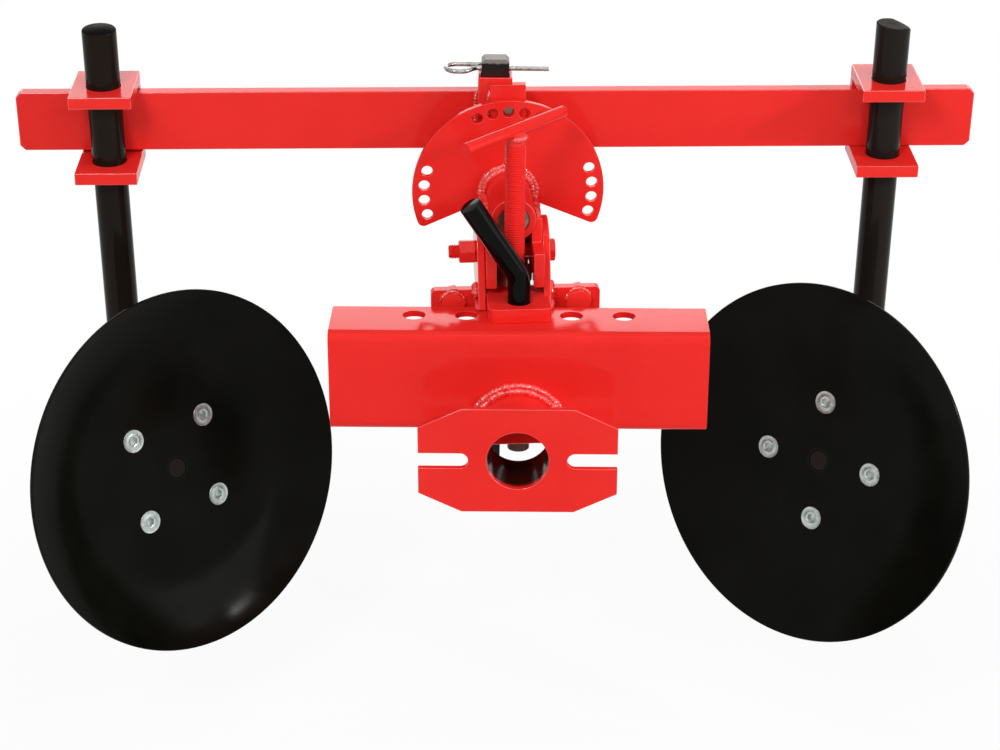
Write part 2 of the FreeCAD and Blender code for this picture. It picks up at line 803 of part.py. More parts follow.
def knuckle(side):
    """Sleeve on the shank's foot and a slanted boss for the spindle, joined by a web."""
    at = shank_centre(side)
    near = behind(side, nearest_behind(side))
    low = V(at.x, at.y, shank_bottom(side))
    high = low + V(0, 0, knuckle_sleeve_h)
    sleeve = rod(2 * knuckle_sleeve_r, low, high)
    front = behind(side, boss_front)
    rear = front - disc_axis(side) * (nearest_behind(side) - boss_front + knuckle_boss_len / 2)
    boss = rod(2 * knuckle_boss_r, front, rear)
    flat = V(near.x - at.x, near.y - at.y, 0)
    across = V(-flat.y, flat.x, 0).normalize() * (knuckle_web_t / 2)
    foot = V(at.x, at.y, near.z - knuckle_web_h / 2)
    web = prism([foot - across, foot + across, foot + across + flat, foot - across + flat],
                V(0, 0, knuckle_web_h))
    body = join([sleeve, boss, web])
    tools = [
        rod(shank_d, low, high),
        rod(spindle_d, front, rear),
    ]
    return cut_all(body, tools)


def spindle(side):
    """Axle that the hub turns on, fixed in the knuckle."""
    front = behind(side, hub_front + hub_flange_t + spindle_set)
    rear = behind(side, nearest_behind(side) + knuckle_boss_len / 2)
    at = shank_centre(side)
    axle = rod(spindle_d, front, rear)
    low = V(at.x, at.y, shank_bottom(side))
    return axle.cut(rod(shank_d, low, low + V(0, 0, knuckle_sleeve_h)))


# ---- discs --------------------------------------------------------------------------
def on_axis(shape, side):
    """A shape drawn about +Z at the origin, set on the disc's rim centre and axis."""
    copy = shape.copy()
    turn = FreeCAD.Rotation(Z_AXIS, disc_axis(side))
    copy.Placement = FreeCAD.Placement(disc_centre(side), turn)
    return copy


def bolt_angles(side):
    """Angles of the disc's bolts about its axis."""
    start = disc_bolt_turn[SIDE_NAMES[side]]
    return [math.radians(start + 360 * k / disc_bolt_count) for k in range(disc_bolt_count)]


def disc_plate(side):
    """Dished disc: a flat middle, then a shallow curve out to the rim at Z = 0."""
    def profile_point(share, lift):
        radius = disc_flat_r + (disc_r - disc_flat_r) * share
        return V(radius, 0, -disc_dish * (1 - share ** disc_curve) + lift)

    front = [profile_point(share, 0) for share in (0, 0.5, 1)]
    rear = [profile_point(share, -disc_t) for share in (1, 0.5, 0)]
    inner_front = V(hub_pilot_r, 0, -disc_dish)
    inner_rear = V(hub_pilot_r, 0, -disc_dish - disc_t)
    outline = Part.Wire([
        Part.LineSegment(inner_front, front[0]).toShape(),
        Part.Arc(*front).toShape(),
        Part.LineSegment(front[2], rear[0]).toShape(),
        Part.Arc(*rear).toShape(),
        Part.LineSegment(rear[2], inner_rear).toShape(),
        Part.LineSegment(inner_rear, inner_front).toShape(),
    ])
    plate = Part.Face(outline).revolve(V(0, 0, 0), Z_AXIS, 360)
    tools = [bolt_solid(angle, False) for angle in bolt_angles(side)]
    return on_axis(cut_all(plate, tools), side)


def bolt_solid(angle, with_nut):
    """Countersunk disc bolt about the disc's axis, with its nut behind the hub."""
    radius = disc_bolt_pcd / 2
    x = radius * math.cos(angle)
    y = radius * math.sin(angle)
    top = -disc_dish
    head = Part.makeCone(disc_bolt_d / 2, disc_bolt_head_d / 2, disc_bolt_head_t,
                         V(x, y, top - disc_bolt_head_t))
    rear = top - disc_t - hub_flange_t
    end = rear - disc_nut_t - disc_bolt_tail
    shank_part = rod(disc_bolt_d, V(x, y, end), V(x, y, top - disc_bolt_head_t))
    bolt = join([head, shank_part])
    if with_nut:
        nut = hexagon(disc_nut_af, V(x, y, rear), V(x, y, rear - disc_nut_t))
        bolt = join([bolt, nut])
    return bolt


def disc_bolts(side):
    """The bolts that hold a disc on its hub."""
    bolts = [bolt_solid(angle, True) for angle in bolt_angles(side)]
    return on_axis(Part.makeCompound(bolts), side)


def hub(side):
    """Flanged hub behind the disc, with a pilot in the disc's centre hole."""
    top = -disc_dish - disc_t
    flange = rod(2 * hub_flange_r, V(0, 0, top - hub_flange_t), V(0, 0, top))
    barrel = rod(2 * hub_barrel_r, V(0, 0, top - hub_barrel_len), V(0, 0, top - hub_flange_t))
    pilot = rod(hub_pilot_d, V(0, 0, top), V(0, 0, top + disc_t))
    body = join([flange, barrel, pilot])
    bore_end = V(0, 0, top - hub_flange_t - spindle_set + spindle_tip_gap)
    tools = [rod(spindle_d + 2 * run_fit, V(0, 0, top - hub_barrel_len), bore_end)]
    for angle in bolt_angles(side):
        x = disc_bolt_pcd / 2 * math.cos(angle)
        y = disc_bolt_pcd / 2 * math.sin(angle)
        tools.append(rod(disc_bolt_d, V(x, y, top - hub_flange_t), V(x, y, top)))
    return on_axis(cut_all(body, tools), side)


# ---- writing ------------------------------------------------------------------------
def nodes():
    """Every node's name and finished shape."""
    made = {
        "hitch_flange": hitch_flange(),
        "hitch_tube": hitch_tube(),
        "hitch_channel": hitch_channel(),
        "upper_tongue": set_yoke(upper_tongue()),
        "lower_tongue": set_yoke(lower_tongue()),
        "yoke_back": set_yoke(yoke_back()),
        "stop_bar": set_yoke(stop_bar()),
        "hitch_pin": set_yoke(hitch_pin()),
        "pivot_bolt": set_yoke(pivot_bolt()),
        "pivot_nut": set_yoke(pivot_nut()),
        "roll_tube": set_head(roll_tube()),
        "head_web": set_head(head_web()),
        "sector_plate": set_head(sector_plate()),
        "screw_nut": set_head(screw_nut()),
        "depth_screw": set_head(depth_screw()),
        "screw_handle": set_head(t_bar_rod()),
        "roll_shaft": roll_shaft(),
        "roll_plate": roll_plate(),
        "lock_pin": lock_pin(),
        "tool_beam": set_beam(tool_beam()),
        "bar_socket": bar_socket(),
        "drop_bar": drop_bar(),
        "bar_clip": bar_clip(),
    }
    for name, side in (("left", -1), ("right", 1)):
        made["stop_bolt_" + name] = set_yoke(stop_bolt(side))
        made["cheek_" + name] = set_yoke(cheek(side))
        made["head_plate_" + name] = set_head(head_plate(side))
        made["upper_lug_" + name] = set_beam(lug(side, True))
        made["lower_lug_" + name] = set_beam(lug(side, False))
        made["clamp_plate_" + name] = set_beam(clamp_plate(side))
        made["clamp_bolt_" + name] = set_beam(clamp_bolt(side))
        made["shank_" + name] = set_beam(shank(side))
        made["knuckle_" + name] = set_beam(knuckle(side))
        made["spindle_" + name] = set_beam(spindle(side))
        made["disc_" + name] = set_beam(disc_plate(side))
        made["hub_" + name] = set_beam(hub(side))
        made["disc_bolts_" + name] = set_beam(disc_bolts(side))
    return made


def main():
    os.makedirs("parts", exist_ok=True)
    for name, shape in nodes().items():
        if len(shape.Solids) == 1:
            shape = shape.Solids[0]
        shape.exportStep("parts/" + name + ".step")
        low = shape.BoundBox
        print(f"{name:20s} {shape.ShapeType:9s} solids {len(shape.Solids)} valid {shape.isValid()} "
              f"volume {shape.Volume / 1000:9.1f} cm3  z {low.ZMin:7.1f} {low.ZMax:7.1f}")


main()
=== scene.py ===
"""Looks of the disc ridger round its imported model: soft edges, welds, threads and finishes.

Lengths are in metres in the model's own frame; MM turns millimetres into metres.
"""

import json
from math import atan, atan2, cos, hypot, radians, sin, sqrt, tan, tau

import bmesh
import bpy
from mathutils import Matrix, Vector, noise


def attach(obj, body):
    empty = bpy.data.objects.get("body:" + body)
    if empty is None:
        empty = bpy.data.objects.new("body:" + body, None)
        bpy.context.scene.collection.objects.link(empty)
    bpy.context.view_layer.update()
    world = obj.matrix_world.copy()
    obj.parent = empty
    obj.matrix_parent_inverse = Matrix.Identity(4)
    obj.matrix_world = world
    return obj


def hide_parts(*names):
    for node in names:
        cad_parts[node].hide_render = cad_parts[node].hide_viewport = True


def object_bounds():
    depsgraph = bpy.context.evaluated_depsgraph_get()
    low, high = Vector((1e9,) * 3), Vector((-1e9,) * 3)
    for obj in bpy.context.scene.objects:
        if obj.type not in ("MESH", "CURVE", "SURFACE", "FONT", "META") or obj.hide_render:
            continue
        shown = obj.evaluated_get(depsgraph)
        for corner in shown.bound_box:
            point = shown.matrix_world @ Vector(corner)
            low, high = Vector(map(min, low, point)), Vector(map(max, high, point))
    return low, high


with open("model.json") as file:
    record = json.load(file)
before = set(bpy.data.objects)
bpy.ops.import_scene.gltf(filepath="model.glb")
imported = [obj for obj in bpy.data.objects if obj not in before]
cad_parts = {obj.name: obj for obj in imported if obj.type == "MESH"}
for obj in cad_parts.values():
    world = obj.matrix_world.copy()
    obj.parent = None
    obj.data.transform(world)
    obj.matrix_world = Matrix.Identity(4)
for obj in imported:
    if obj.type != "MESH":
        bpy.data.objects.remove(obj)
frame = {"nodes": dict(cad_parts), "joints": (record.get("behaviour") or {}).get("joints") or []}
cad_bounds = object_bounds()
joints = {joint["name"]: joint for joint in frame["joints"]}
SIDES = ("left", "right")
MM = 0.001
TINY = 1e-6                 # a length or an angle that counts as none
SMOOTH = 35                 # degrees between two faces that still look round

COARSE_PITCH = 1.75 * MM    # thread of the bolts
SCREW_PITCH = 2.5 * MM      # thread of the depth screw
THREAD_DEPTH = 0.55         # share of the pitch
PIN_BEND = 30 * MM          # radius of the hitch pin's corner
SHANK_WALL = 0.27           # share of the shank's radius
DISC_THICK = 4 * MM
DISC_EDGE = 1.3 * MM        # rounding of the disc's rim
HUB_FLANGE = 10 * MM        # thickness of the hub's flange behind the disc


# ---- places ----
def joint_axis(name):
    return Vector(joints[name]["axis"]).normalized()


def joint_place(name):
    return Vector(joints[name]["pos_m"])


def place(origin, x, z):
    """A frame from an origin, an X direction and a Z direction, squared up on Z."""
    z = z.normalized()
    y = z.cross(x).normalized()
    square = Matrix((y.cross(z), y, z)).transposed().to_4x4()
    square.translation = origin
    return square


def about(origin, way, at):
    """A frame whose Z runs along a direction from a point of another frame."""
    return at @ place(Vector(origin), Vector(way).orthogonal(), Vector(way))


def wheel_place(side):
    """Frame of a disc: Z out of its hollow face."""
    axis = joint_axis("spin_" + side)
    if axis.y > 0:
        axis = -axis
    return place(joint_place("spin_" + side), Vector((1, 0, 0)), axis)


def points_of(node, at):
    """A CAD node's points, seen from a frame."""
    back = at.inverted()
    return [back @ v.co for v in frame["nodes"][node].data.vertices]


def corners(points):
    """Lowest and highest corner of the box round some points."""
    low = Vector([min(p[i] for p in points) for i in range(3)])
    high = Vector([max(p[i] for p in points) for i in range(3)])
    return low, high


def extent(node, at):
    """Lowest and highest corner of a CAD node, seen from a frame."""
    return corners(points_of(node, at))


# frames of the bodies: X to the right, Y to the rear and Z up, each as its body leans
HITCH = Matrix.Identity(4)
tilt_x = joint_axis("tilt")
YOKE = place(joint_place("swing"), tilt_x, joint_axis("swing"))
HEAD = place(joint_place("tilt"), tilt_x, tilt_x.cross(joint_axis("roll")))
shank_left, shank_right = (joint_place("swivel_" + side) for side in SIDES)
BEAM = place((shank_left + shank_right) / 2, shank_right - shank_left, joint_axis("swivel_left"))
beam_x = BEAM.col[0].to_3d()
beam_z = BEAM.col[2].to_3d()
ARM = {side: place(joint_place("swivel_" + side), beam_x, beam_z) for side in SIDES}
WHEEL = {side: wheel_place(side) for side in SIDES}


# ---- node materials ----
def shader(name):
    """A new node material: itself, its tree, its shader and its object coordinates."""
    material = bpy.data.materials.new(name)
    material.use_nodes = True
    tree = material.node_tree
    coords = tree.nodes.new("ShaderNodeTexCoord")
    return material, tree, tree.nodes["Principled BSDF"], coords.outputs["Object"]


def noise_node(tree, coords, scale, detail=4.0, rough=0.55):
    node = tree.nodes.new("ShaderNodeTexNoise")
    node.inputs["Scale"].default_value = scale
    node.inputs["Detail"].default_value = detail
    node.inputs["Roughness"].default_value = rough
    tree.links.new(coords, node.inputs["Vector"])
    return node.outputs["Fac"]


def ramp_node(tree, value, stops):
    """A colour ramp of (position, colour) stops."""
    node = tree.nodes.new("ShaderNodeValToRGB")
    bands = node.color_ramp.elements
    while len(bands) < len(stops):
        bands.new(0.5)
    for band, (position, colour) in zip(bands, stops):
        band.position = position
        band.color = (*colour, 1)
    tree.links.new(value, node.inputs["Fac"])
    return node.outputs["Color"]


def range_node(tree, value, low, high, start=0.3, end=0.7):
    """A value that runs from low to high while another runs from start to end."""
    node = tree.nodes.new("ShaderNodeMapRange")
    for name, limit in (("From Min", start), ("From Max", end), ("To Min", low), ("To Max", high)):
        node.inputs[name].default_value = limit
    tree.links.new(value, node.inputs["Value"])
    return node.outputs["Result"]


def math_node(tree, operation, *values):
    """Arithmetic on sockets and numbers."""
    node = tree.nodes.new("ShaderNodeMath")
    node.operation = operation
    for socket, value in zip(node.inputs, values):
        if isinstance(value, float):
            socket.default_value = value
        else:
            tree.links.new(value, socket)
    return node.outputs[0]


def mix_node(tree, factor, first, second, blend="MIX"):
    """Two colours mixed; each input is a socket, a number or a colour."""
    node = tree.nodes.new("ShaderNodeMix")
    node.data_type = "RGBA"
    node.blend_type = blend
    sockets = {socket.identifier: socket for socket in node.inputs}
    for key, value in (("Factor_Float", factor), ("A_Color", first), ("B_Color", second)):
        if isinstance(value, float):
            sockets[key].default_value = value
        elif isinstance(value, tuple):
            sockets[key].default_value = (*value, 1)
        else:
            tree.links.new(value, sockets[key])
    return {socket.identifier: socket for socket in node.outputs}["Result_Color"]


def mix_shaders(tree, factor, first, second, output):
    """Two shaders mixed into an output node."""
    node = tree.nodes.new("ShaderNodeMixShader")
    for socket, value in zip(node.inputs, (factor, first, second)):
        tree.links.new(value, socket)
    tree.links.new(node.outputs[0], tree.nodes[output].inputs["Surface"])


def sharpness_node(tree):
    """How sharply the surface bends: near 1 on proud edges, 0 elsewhere."""
    geometry = tree.nodes.new("ShaderNodeNewGeometry")
    return range_node(tree, geometry.outputs["Pointiness"], 0.0, 1.0, start=0.52, end=0.62)


def bump(tree, bsdf, layers):
    """Stacked bump layers of (height, strength, distance in metres)."""
    last = None
    for height, strength, distance in layers:
        node = tree.nodes.new("ShaderNodeBump")
        node.inputs["Strength"].default_value = strength
        node.inputs["Distance"].default_value = distance
        tree.links.new(height, node.inputs["Height"])
        if last:
            tree.links.new(last, node.inputs["Normal"])
        last = node.outputs["Normal"]
    tree.links.new(last, bsdf.inputs["Normal"])


def paint(name, tones, specular, rough, peel=0.25):
    """Sprayed paint of three tones: its own, where it drifts deeper, and a lighter one on proud edges, which
    is a painted highlight.

    Orange peel and uneven gloss lie over them.
    """
    # the edge tone is lighter than the paint's own: a painted highlight along proud edges
    colour, deep, edge = tones
    material, tree, bsdf, coords = shader(name)
    drift = noise_node(tree, coords, scale=14, detail=5)
    grain = noise_node(tree, coords, scale=900, detail=2)
    base = ramp_node(tree, drift, [(0.3, deep), (0.6, colour)])
    speckle = ramp_node(tree, grain, [(0.25, (0.93, 0.93, 0.93)), (0.6, (1, 1, 1))])
    # proud edges take the lighter edge tone: a painted highlight
    edge_highlit = mix_node(tree, sharpness_node(tree), mix_node(tree, 1.0, base, speckle, "MULTIPLY"), edge)
    tree.links.new(edge_highlit, bsdf.inputs["Base Color"])
    gloss = noise_node(tree, coords, scale=30, detail=4)
    tree.links.new(range_node(tree, gloss, rough - 0.03, rough + 0.05), bsdf.inputs["Roughness"])
    bsdf.inputs["Specular IOR Level"].default_value = specular
    bump(tree, bsdf, [(noise_node(tree, coords, scale=22, detail=2), peel, 0.40 * MM),
                      (noise_node(tree, coords, scale=260, detail=2), peel, 0.06 * MM)])
    return material


def metal(name, colour, deep, rough, streak, scratch=0.15):
    """Bare or plated metal: blotches of a size, fine marks and uneven polish."""
    material, tree, bsdf, coords = shader(name)
    bsdf.inputs["Metallic"].default_value = 1.0
    blotch = noise_node(tree, coords, streak, detail=6, rough=0.65)
    tree.links.new(ramp_node(tree, blotch, [(0.32, deep), (0.62, colour)]), bsdf.inputs["Base Color"])
    fine = noise_node(tree, coords, scale=700, detail=5, rough=0.7)
    tree.links.new(range_node(tree, fine, rough - 0.08, rough + 0.14), bsdf.inputs["Roughness"])
    bump(tree, bsdf, [(fine, scratch, 0.08 * MM), (blotch, scratch, 0.20 * MM)])
    return material


def ragged_height(tree, spread, axis="Z"):
    """Height along one axis with an uneven edge of a given depth, and the split coordinates."""
    coords = tree.nodes.new("ShaderNodeTexCoord").outputs["Object"]
    split = tree.nodes.new("ShaderNodeSeparateXYZ")
    tree.links.new(coords, split.inputs[0])
    rough_edge = noise_node(tree, coords, scale=240, detail=5)
    return math_node(tree, "MULTIPLY_ADD", rough_edge, spread, split.outputs[axis]), split


def overcoat(material, factor, colour):
    """Another colour over a material's own, where a factor says."""
    tree = material.node_tree
    base = tree.nodes["Principled BSDF"].inputs["Base Color"]
    tree.links.new(mix_node(tree, factor, base.links[0].from_socket, colour), base)


def worn_bar(name, top):
    """Black bar with a bare top end and a band tinted dark red below it."""
    material = paint(name, ((0.0040, 0.0034, 0.0030), (0.003, 0.003, 0.003), (0.03, 0.028, 0.026)),
                     specular=0.08, rough=0.25)
    tree = material.node_tree
    height, _ = ragged_height(tree, 4 * MM)
    bare = range_node(tree, height, 0.0, 1.0, top - 0.6 * MM, top + 0.8 * MM)
    below_top = range_node(tree, height, 0.55, 0.0, top - 17 * MM, top - 5 * MM)
    above_foot = range_node(tree, height, 0.0, 1.0, top - 60 * MM, top - 40 * MM)
    overcoat(material, math_node(tree, "MULTIPLY", below_top, above_foot), (0.10, 0.006, 0.005))
    overcoat(material, bare, (0.25, 0.235, 0.22))
    bsdf = tree.nodes["Principled BSDF"]
    tree.links.new(bare, bsdf.inputs["Metallic"])
    painted = bsdf.inputs["Roughness"].links[0].from_socket
    tree.links.new(math_node(tree, "MULTIPLY_ADD", bare, 0.3, painted), bsdf.inputs["Roughness"])
    return material


def worn_pin(name, foot):
    """Glossy black pin, rubbed to brown steel at its foot."""
    material = paint(name, ((0.0015, 0.0015, 0.0014), (0.0012, 0.0012, 0.0012), (0.010, 0.010, 0.010)),
                     specular=0.08, rough=0.06, peel=0.2)
    tree = material.node_tree
    height, _ = ragged_height(tree, 4 * MM)
    rubbed = range_node(tree, height, 1.0, 0.0, foot + 10 * MM, foot + 13 * MM)
    overcoat(material, rubbed, (0.11, 0.062, 0.040))
    return material


def shaded_bore(name, radius, mouth):
    """Red paint that thins out inside a bore along Y, from its mouth on, to near-black brown: bare steel
    darkened with painted shade.
    """
    material = paint(name, RED_TONES, RED_SPECULAR, RED_ROUGH)
    tree = material.node_tree
    depth, split = ragged_height(tree, 6 * MM, "Y")
    flat = tree.nodes.new("ShaderNodeCombineXYZ")
    tree.links.new(split.outputs["X"], flat.inputs["X"])
    tree.links.new(split.outputs["Z"], flat.inputs["Z"])
    reach = tree.nodes.new("ShaderNodeVectorMath")
    reach.operation = "LENGTH"
    tree.links.new(flat.outputs[0], reach.inputs[0])
    inside = range_node(tree, reach.outputs["Value"], 1.0, 0.0, radius + 1 * MM, radius + 2 * MM)
    deep = range_node(tree, depth, 0.0, 1.0, mouth, mouth + 10 * MM)
    # near-black brown deeper in the bore: painted shade, where the red paint stops
    overcoat(material, math_node(tree, "MULTIPLY", inside, deep), (0.026, 0.0050, 0.0028))
    return material


# own, deeper and edge tone; the lighter edge tone of this and every other paint is a painted highlight on
# proud edges
RED_TONES = ((0.87, 0.022, 0.0175), (0.82, 0.018, 0.015), (0.88, 0.05, 0.04))
RED_SPECULAR = 0.08
RED_ROUGH = 0.11
RED = paint("red_paint", RED_TONES, RED_SPECULAR, RED_ROUGH)
EDGE_RED = paint("edge_red", RED_TONES, specular=0.9, rough=RED_ROUGH)
WELD_RED = paint("weld_red", ((0.84, 0.022, 0.018), (0.62, 0.01, 0.008), (0.88, 0.06, 0.05)),
                 specular=1.0, rough=0.1, peel=0.9)
# near-black red for the web between the head plates: painted shade where the web sits in shadow
SHADED_WEB_RED = paint("shaded_web_red", ((0.03, 0.0035, 0.003), (0.018, 0.002, 0.0018), (0.06, 0.006, 0.005)),
                   specular=0.05, rough=0.4)
hitch_bore = min(hypot(p.x, p.z) for p in points_of("hitch_tube", HITCH))
# the hitch tube's bore: red at its mouth, near-black brown deeper in, which is painted shade
SHADED_BORE_RED = shaded_bore("shaded_bore_red", hitch_bore, 7 * MM)
DISC_BLACK = paint("disc_black", ((0.0044, 0.0044, 0.0031), (0.0026, 0.0026, 0.002), (0.012, 0.012, 0.01)),
                   specular=0.045, rough=0.15, peel=0.1)
TUBE_BLACK = paint("tube_black", ((0.0115, 0.007, 0.0042), (0.0085, 0.0052, 0.0032), (0.02, 0.018, 0.016)),
                   specular=0.07, rough=0.1, peel=0.3)
CAP_BLACK = paint("cap_black", ((0.006, 0.0045, 0.0034), (0.0035, 0.0028, 0.0024), (0.03, 0.025, 0.02)),
                  specular=0.025, rough=0.5, peel=0.7)
WELD_BLACK = paint("weld_black", ((0.006, 0.0055, 0.005), (0.004, 0.0036, 0.0034), (0.03, 0.03, 0.03)),
                   specular=0.15, rough=0.25, peel=0.8)
PIN_BLACK = worn_pin("pin_black", extent("hitch_pin", HITCH)[0].z)
BAR_BLACK = worn_bar("bar_black", extent("drop_bar", HITCH)[1].z - 3.5 * MM)
ZINC = metal("zinc_plate", (0.55, 0.61, 0.59), (0.3, 0.35, 0.33), rough=0.3, streak=160)
DARK_STEEL = metal("dark_steel", (0.03, 0.027, 0.025), (0.012, 0.01, 0.01), rough=0.42, streak=60)
CLIP_STEEL = metal("spring_steel", (0.5, 0.48, 0.46), (0.16, 0.155, 0.15), rough=0.2, streak=90)
BARE = metal("bare_steel", (0.34, 0.27, 0.22), (0.12, 0.08, 0.06), rough=0.34, streak=60, scratch=0.5)


# ---- pieces ----
def finish_piece(piece, body, replaces=()):
    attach(piece, body)
    if replaces:
        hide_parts(*replaces)


def link(name, data):
    """A new object in the scene for a mesh, a lamp or a camera."""
    item = bpy.data.objects.new(name, data)
    bpy.context.scene.collection.objects.link(item)
    return item


def show(name, mesh, material, smooth=SMOOTH):
    """An object for a mesh, shaded round where faces meet at less than an angle."""
    mesh.materials.append(material)
    mesh.polygons.foreach_set("use_smooth", [True] * len(mesh.polygons))
    mesh.set_sharp_from_angle(angle=radians(smooth))
    return link(name, mesh)


def build(name, parts, material, smooth=SMOOTH):
    """One object from (points, faces, frame) parts."""
    points = []
    faces = []
    for part_points, part_faces, at in parts:
        start = len(points)
        points += [at @ p for p in part_points]
        faces += [[start + i for i in face] for face in part_faces]
    mesh = bpy.data.meshes.new(name)
    mesh.from_pydata(points, [], faces)
    mesh.validate()
    work = bmesh.new()
    work.from_mesh(mesh)
    bmesh.ops.recalc_face_normals(work, faces=work.faces)
    work.to_mesh(mesh)
    work.free()
    return show(name, mesh, material, smooth)


def round_edges(piece, width, segments):
    """Rounded edges; on red pieces they get the glossier paint of an edge."""
    edge = piece.modifiers.new("edges", "BEVEL")
    edge.width = width
    edge.segments = segments
    edge.limit_method = "ANGLE"
    edge.angle_limit = radians(SMOOTH)
    edge.harden_normals = True
    edge.use_clamp_overlap = True
    if piece.data.materials[0] == RED:
        piece.data.materials.append(EDGE_RED)
        edge.material = 1


def carve(piece, cutter, smooth):
    """Take one object's solid out of another, and keep the result as its mesh."""
    step = piece.modifiers.new("carve", "BOOLEAN")
    step.operation = "DIFFERENCE"
    step.solver = "EXACT"
    step.object = cutter
    baked = bpy.data.meshes.new_from_object(piece.evaluated_get(bpy.context.evaluated_depsgraph_get()))
    piece.modifiers.remove(step)
    piece.data = baked
    baked.set_sharp_from_angle(angle=radians(smooth))
    bpy.data.objects.remove(cutter)


def soften(node, body, material, width=0.6 * MM, segments=2):
    """A CAD node's shape as a new mesh with whole faces and rounded edges."""
    mesh = bpy.data.meshes.new(node + "_soft")
    work = bmesh.new()
    work.from_mesh(frame["nodes"][node].data)
    bmesh.ops.remove_doubles(work, verts=work.verts, dist=TINY)
    bmesh.ops.dissolve_limit(work, angle_limit=radians(0.3), verts=work.verts, edges=work.edges)
    for layer in list(work.loops.layers.uv):
        work.loops.layers.uv.remove(layer)
    work.to_mesh(mesh)
    work.free()
    piece = show(node + "_soft", mesh, material)
    round_edges(piece, width, segments)
    finish_piece(piece, body, (node,))


# ---- shapes: each gives points, faces and a frame ----
def ring_faces(rows, around, looped=False):
    """Faces between rows of points that each run once round, with capped or joined ends."""
    faces = []
    for row in range(rows - 1):
        for k in range(around):
            after = (k + 1) % around
            faces.append([row * around + k, row * around + after,
                          (row + 1) * around + after, (row + 1) * around + k])
    last = (rows - 1) * around
    if looped:
        faces += [[last + k, last + (k + 1) % around, (k + 1) % around, k] for k in range(around)]
    else:
        faces.append(list(range(around)))
        faces.append(list(range(last, last + around)))
    return faces


def even_angles(around):
    return [tau * k / around for k in range(around)]


def turned(rows, at, around, looped=False):
    """Rows round Z, each with the radius and height at every angle."""
    points = [Vector((r * cos(a), r * sin(a), z))
              for row in rows for a, (r, z) in zip(even_angles(around), row)]
    return points, ring_faces(len(rows), around, looped), at


def lathe(profile, at, around=72, looped=False):
    """A profile of (radius, height) turned about Z, capped at its ends or looped into a ring."""
    return turned([[(max(radius, TINY), z)] * around for radius, z in profile], at, around, looped)


def hexagon_reach(flats, around, turn=0.0):
    """How far a hexagon's outline lies from its middle, at even angles."""
    return [flats / 2 / cos((a - turn + tau / 12) % (tau / 6) - tau / 12) for a in even_angles(around)]


def hexagon(flats, z0, z1, at, turn=0.0, around=72):
    """A hexagon head or nut with its corners turned off at both ends."""
    end_radius = 0.475 * flats
    reach = hexagon_reach(flats, around, turn)
    drop = [(r - end_radius) * tan(radians(30)) for r in reach]
    rows = [
        [(end_radius, z0)] * around,
        [(r, z0 + d) for r, d in zip(reach, drop)],
        [(r, z1 - d) for r, d in zip(reach, drop)],
        [(end_radius, z1)] * around,
    ]
    return turned(rows, at, around)


def thread(radius, pitch, z0, z1, at, around=36):
    """A V thread that fades out at both ends, to go on a core."""
    depth = THREAD_DEPTH * pitch
    turns = (z1 - z0) / pitch - 1
    steps = int(turns * around)
    # share of the pitch along the screw, and share of the depth out of the groove
    shape = ((0.0, 0.0), (0.12, 0.0), (0.5, 1.0), (0.62, 1.0))
    across = len(shape)
    points = []
    for i in range(steps + 1):
        angle = tau * i / around
        fade = min(1.0, i / around, (steps - i) / around)
        for offset, cut in shape:
            reach = radius - depth * (1 - (1 - cut) * fade)
            z = z0 + pitch * (i / around + offset)
            points.append(Vector((reach * cos(angle), reach * sin(angle), z)))
    faces = []
    for i in range(steps):
        for j in range(across - 1):
            a = across * i + j
            faces.append([a, a + across, a + across + 1, a + 1])
        if i + around < steps:
            a = across * i + across - 1
            b = across * (i + around)
            faces.append([a, a + across, b + across, b])
    return points, faces, at


def core(radius, pitch, z0, z1, at):
    """The solid inside a thread, with chamfered ends."""
    inner = radius - THREAD_DEPTH * pitch
    chamfer = 0.6 * pitch
    skin = inner + 0.02 * MM
    profile = [(inner - chamfer, z0), (skin, z0 + chamfer), (skin, z1 - chamfer), (inner - chamfer, z1)]
    return lathe(profile, at, 48)


def rounded_end(row, out, depth):
    """The rows that round off a bar's end, from its last full row to its tip."""
    p, u, w, radius = row
    tip = [(p + out * depth * (sin(t) - 1), u, w, radius - depth * (1 - cos(t)))
           for t in (0.4, 0.8, 1.2, tau / 4)]
    return [(p - out * depth, u, w, radius)] + tip


def sweep(route, radius, at, around, end_round):
    """A round bar along a route of points, its ends rounded off."""
    route = [Vector(p) for p in route]
    ways = []
    for i in range(len(route)):
        before = route[max(i - 1, 0)]
        after = route[min(i + 1, len(route) - 1)]
        ways.append((after - before).normalized())
    side = ways[0].orthogonal().normalized()
    rows = []
    for p, way in zip(route, ways):
        side = (side - way * side.dot(way)).normalized()
        rows.append((p, side.copy(), way.cross(side), radius))
    first = rounded_end(rows[0], -ways[0], end_round)
    last = rounded_end(rows[-1], ways[-1], end_round)
    rows = first[::-1] + rows[1:-1] + last
    points = [p + (u * cos(tau * k / around) + w * sin(tau * k / around)) * r
              for p, u, w, r in rows for k in range(around)]
    return points, ring_faces(len(rows), around), at


def rounded_route(start, corner, end, radius, steps=14):
    """Two straight runs joined by an arc."""
    arriving = (corner - start).normalized()
    leaving = (end - corner).normalized()
    turn = arriving.angle(leaving)
    reach = radius * tan(turn / 2)
    first = corner - arriving * reach
    inward = (leaving - arriving * arriving.dot(leaving)).normalized()
    centre = first + inward * radius
    angles = [turn * k / steps for k in range(steps + 1)]
    arc = [centre - inward * radius * cos(a) + arriving * radius * sin(a) for a in angles]
    return [start, start.lerp(first, 0.5)] + arc + [end.lerp(arc[-1], 0.5), end]


def stops_along(route, step, closed):
    """Even (point, direction, distance) stops along a route of points, and its length."""
    lengths = [(b - a).length for a, b in zip(route, route[1:])]
    total = sum(lengths)
    count = max(8, int(total / step))
    stops = []
    for i in range(count + (0 if closed else 1)):
        travel = total * i / count
        k = 0
        while k < len(lengths) - 1 and travel > lengths[k]:
            travel -= lengths[k]
            k += 1
        way = (route[k + 1] - route[k]).normalized()
        stops.append((route[k] + way * travel, way, total * i / count))
    return stops, total


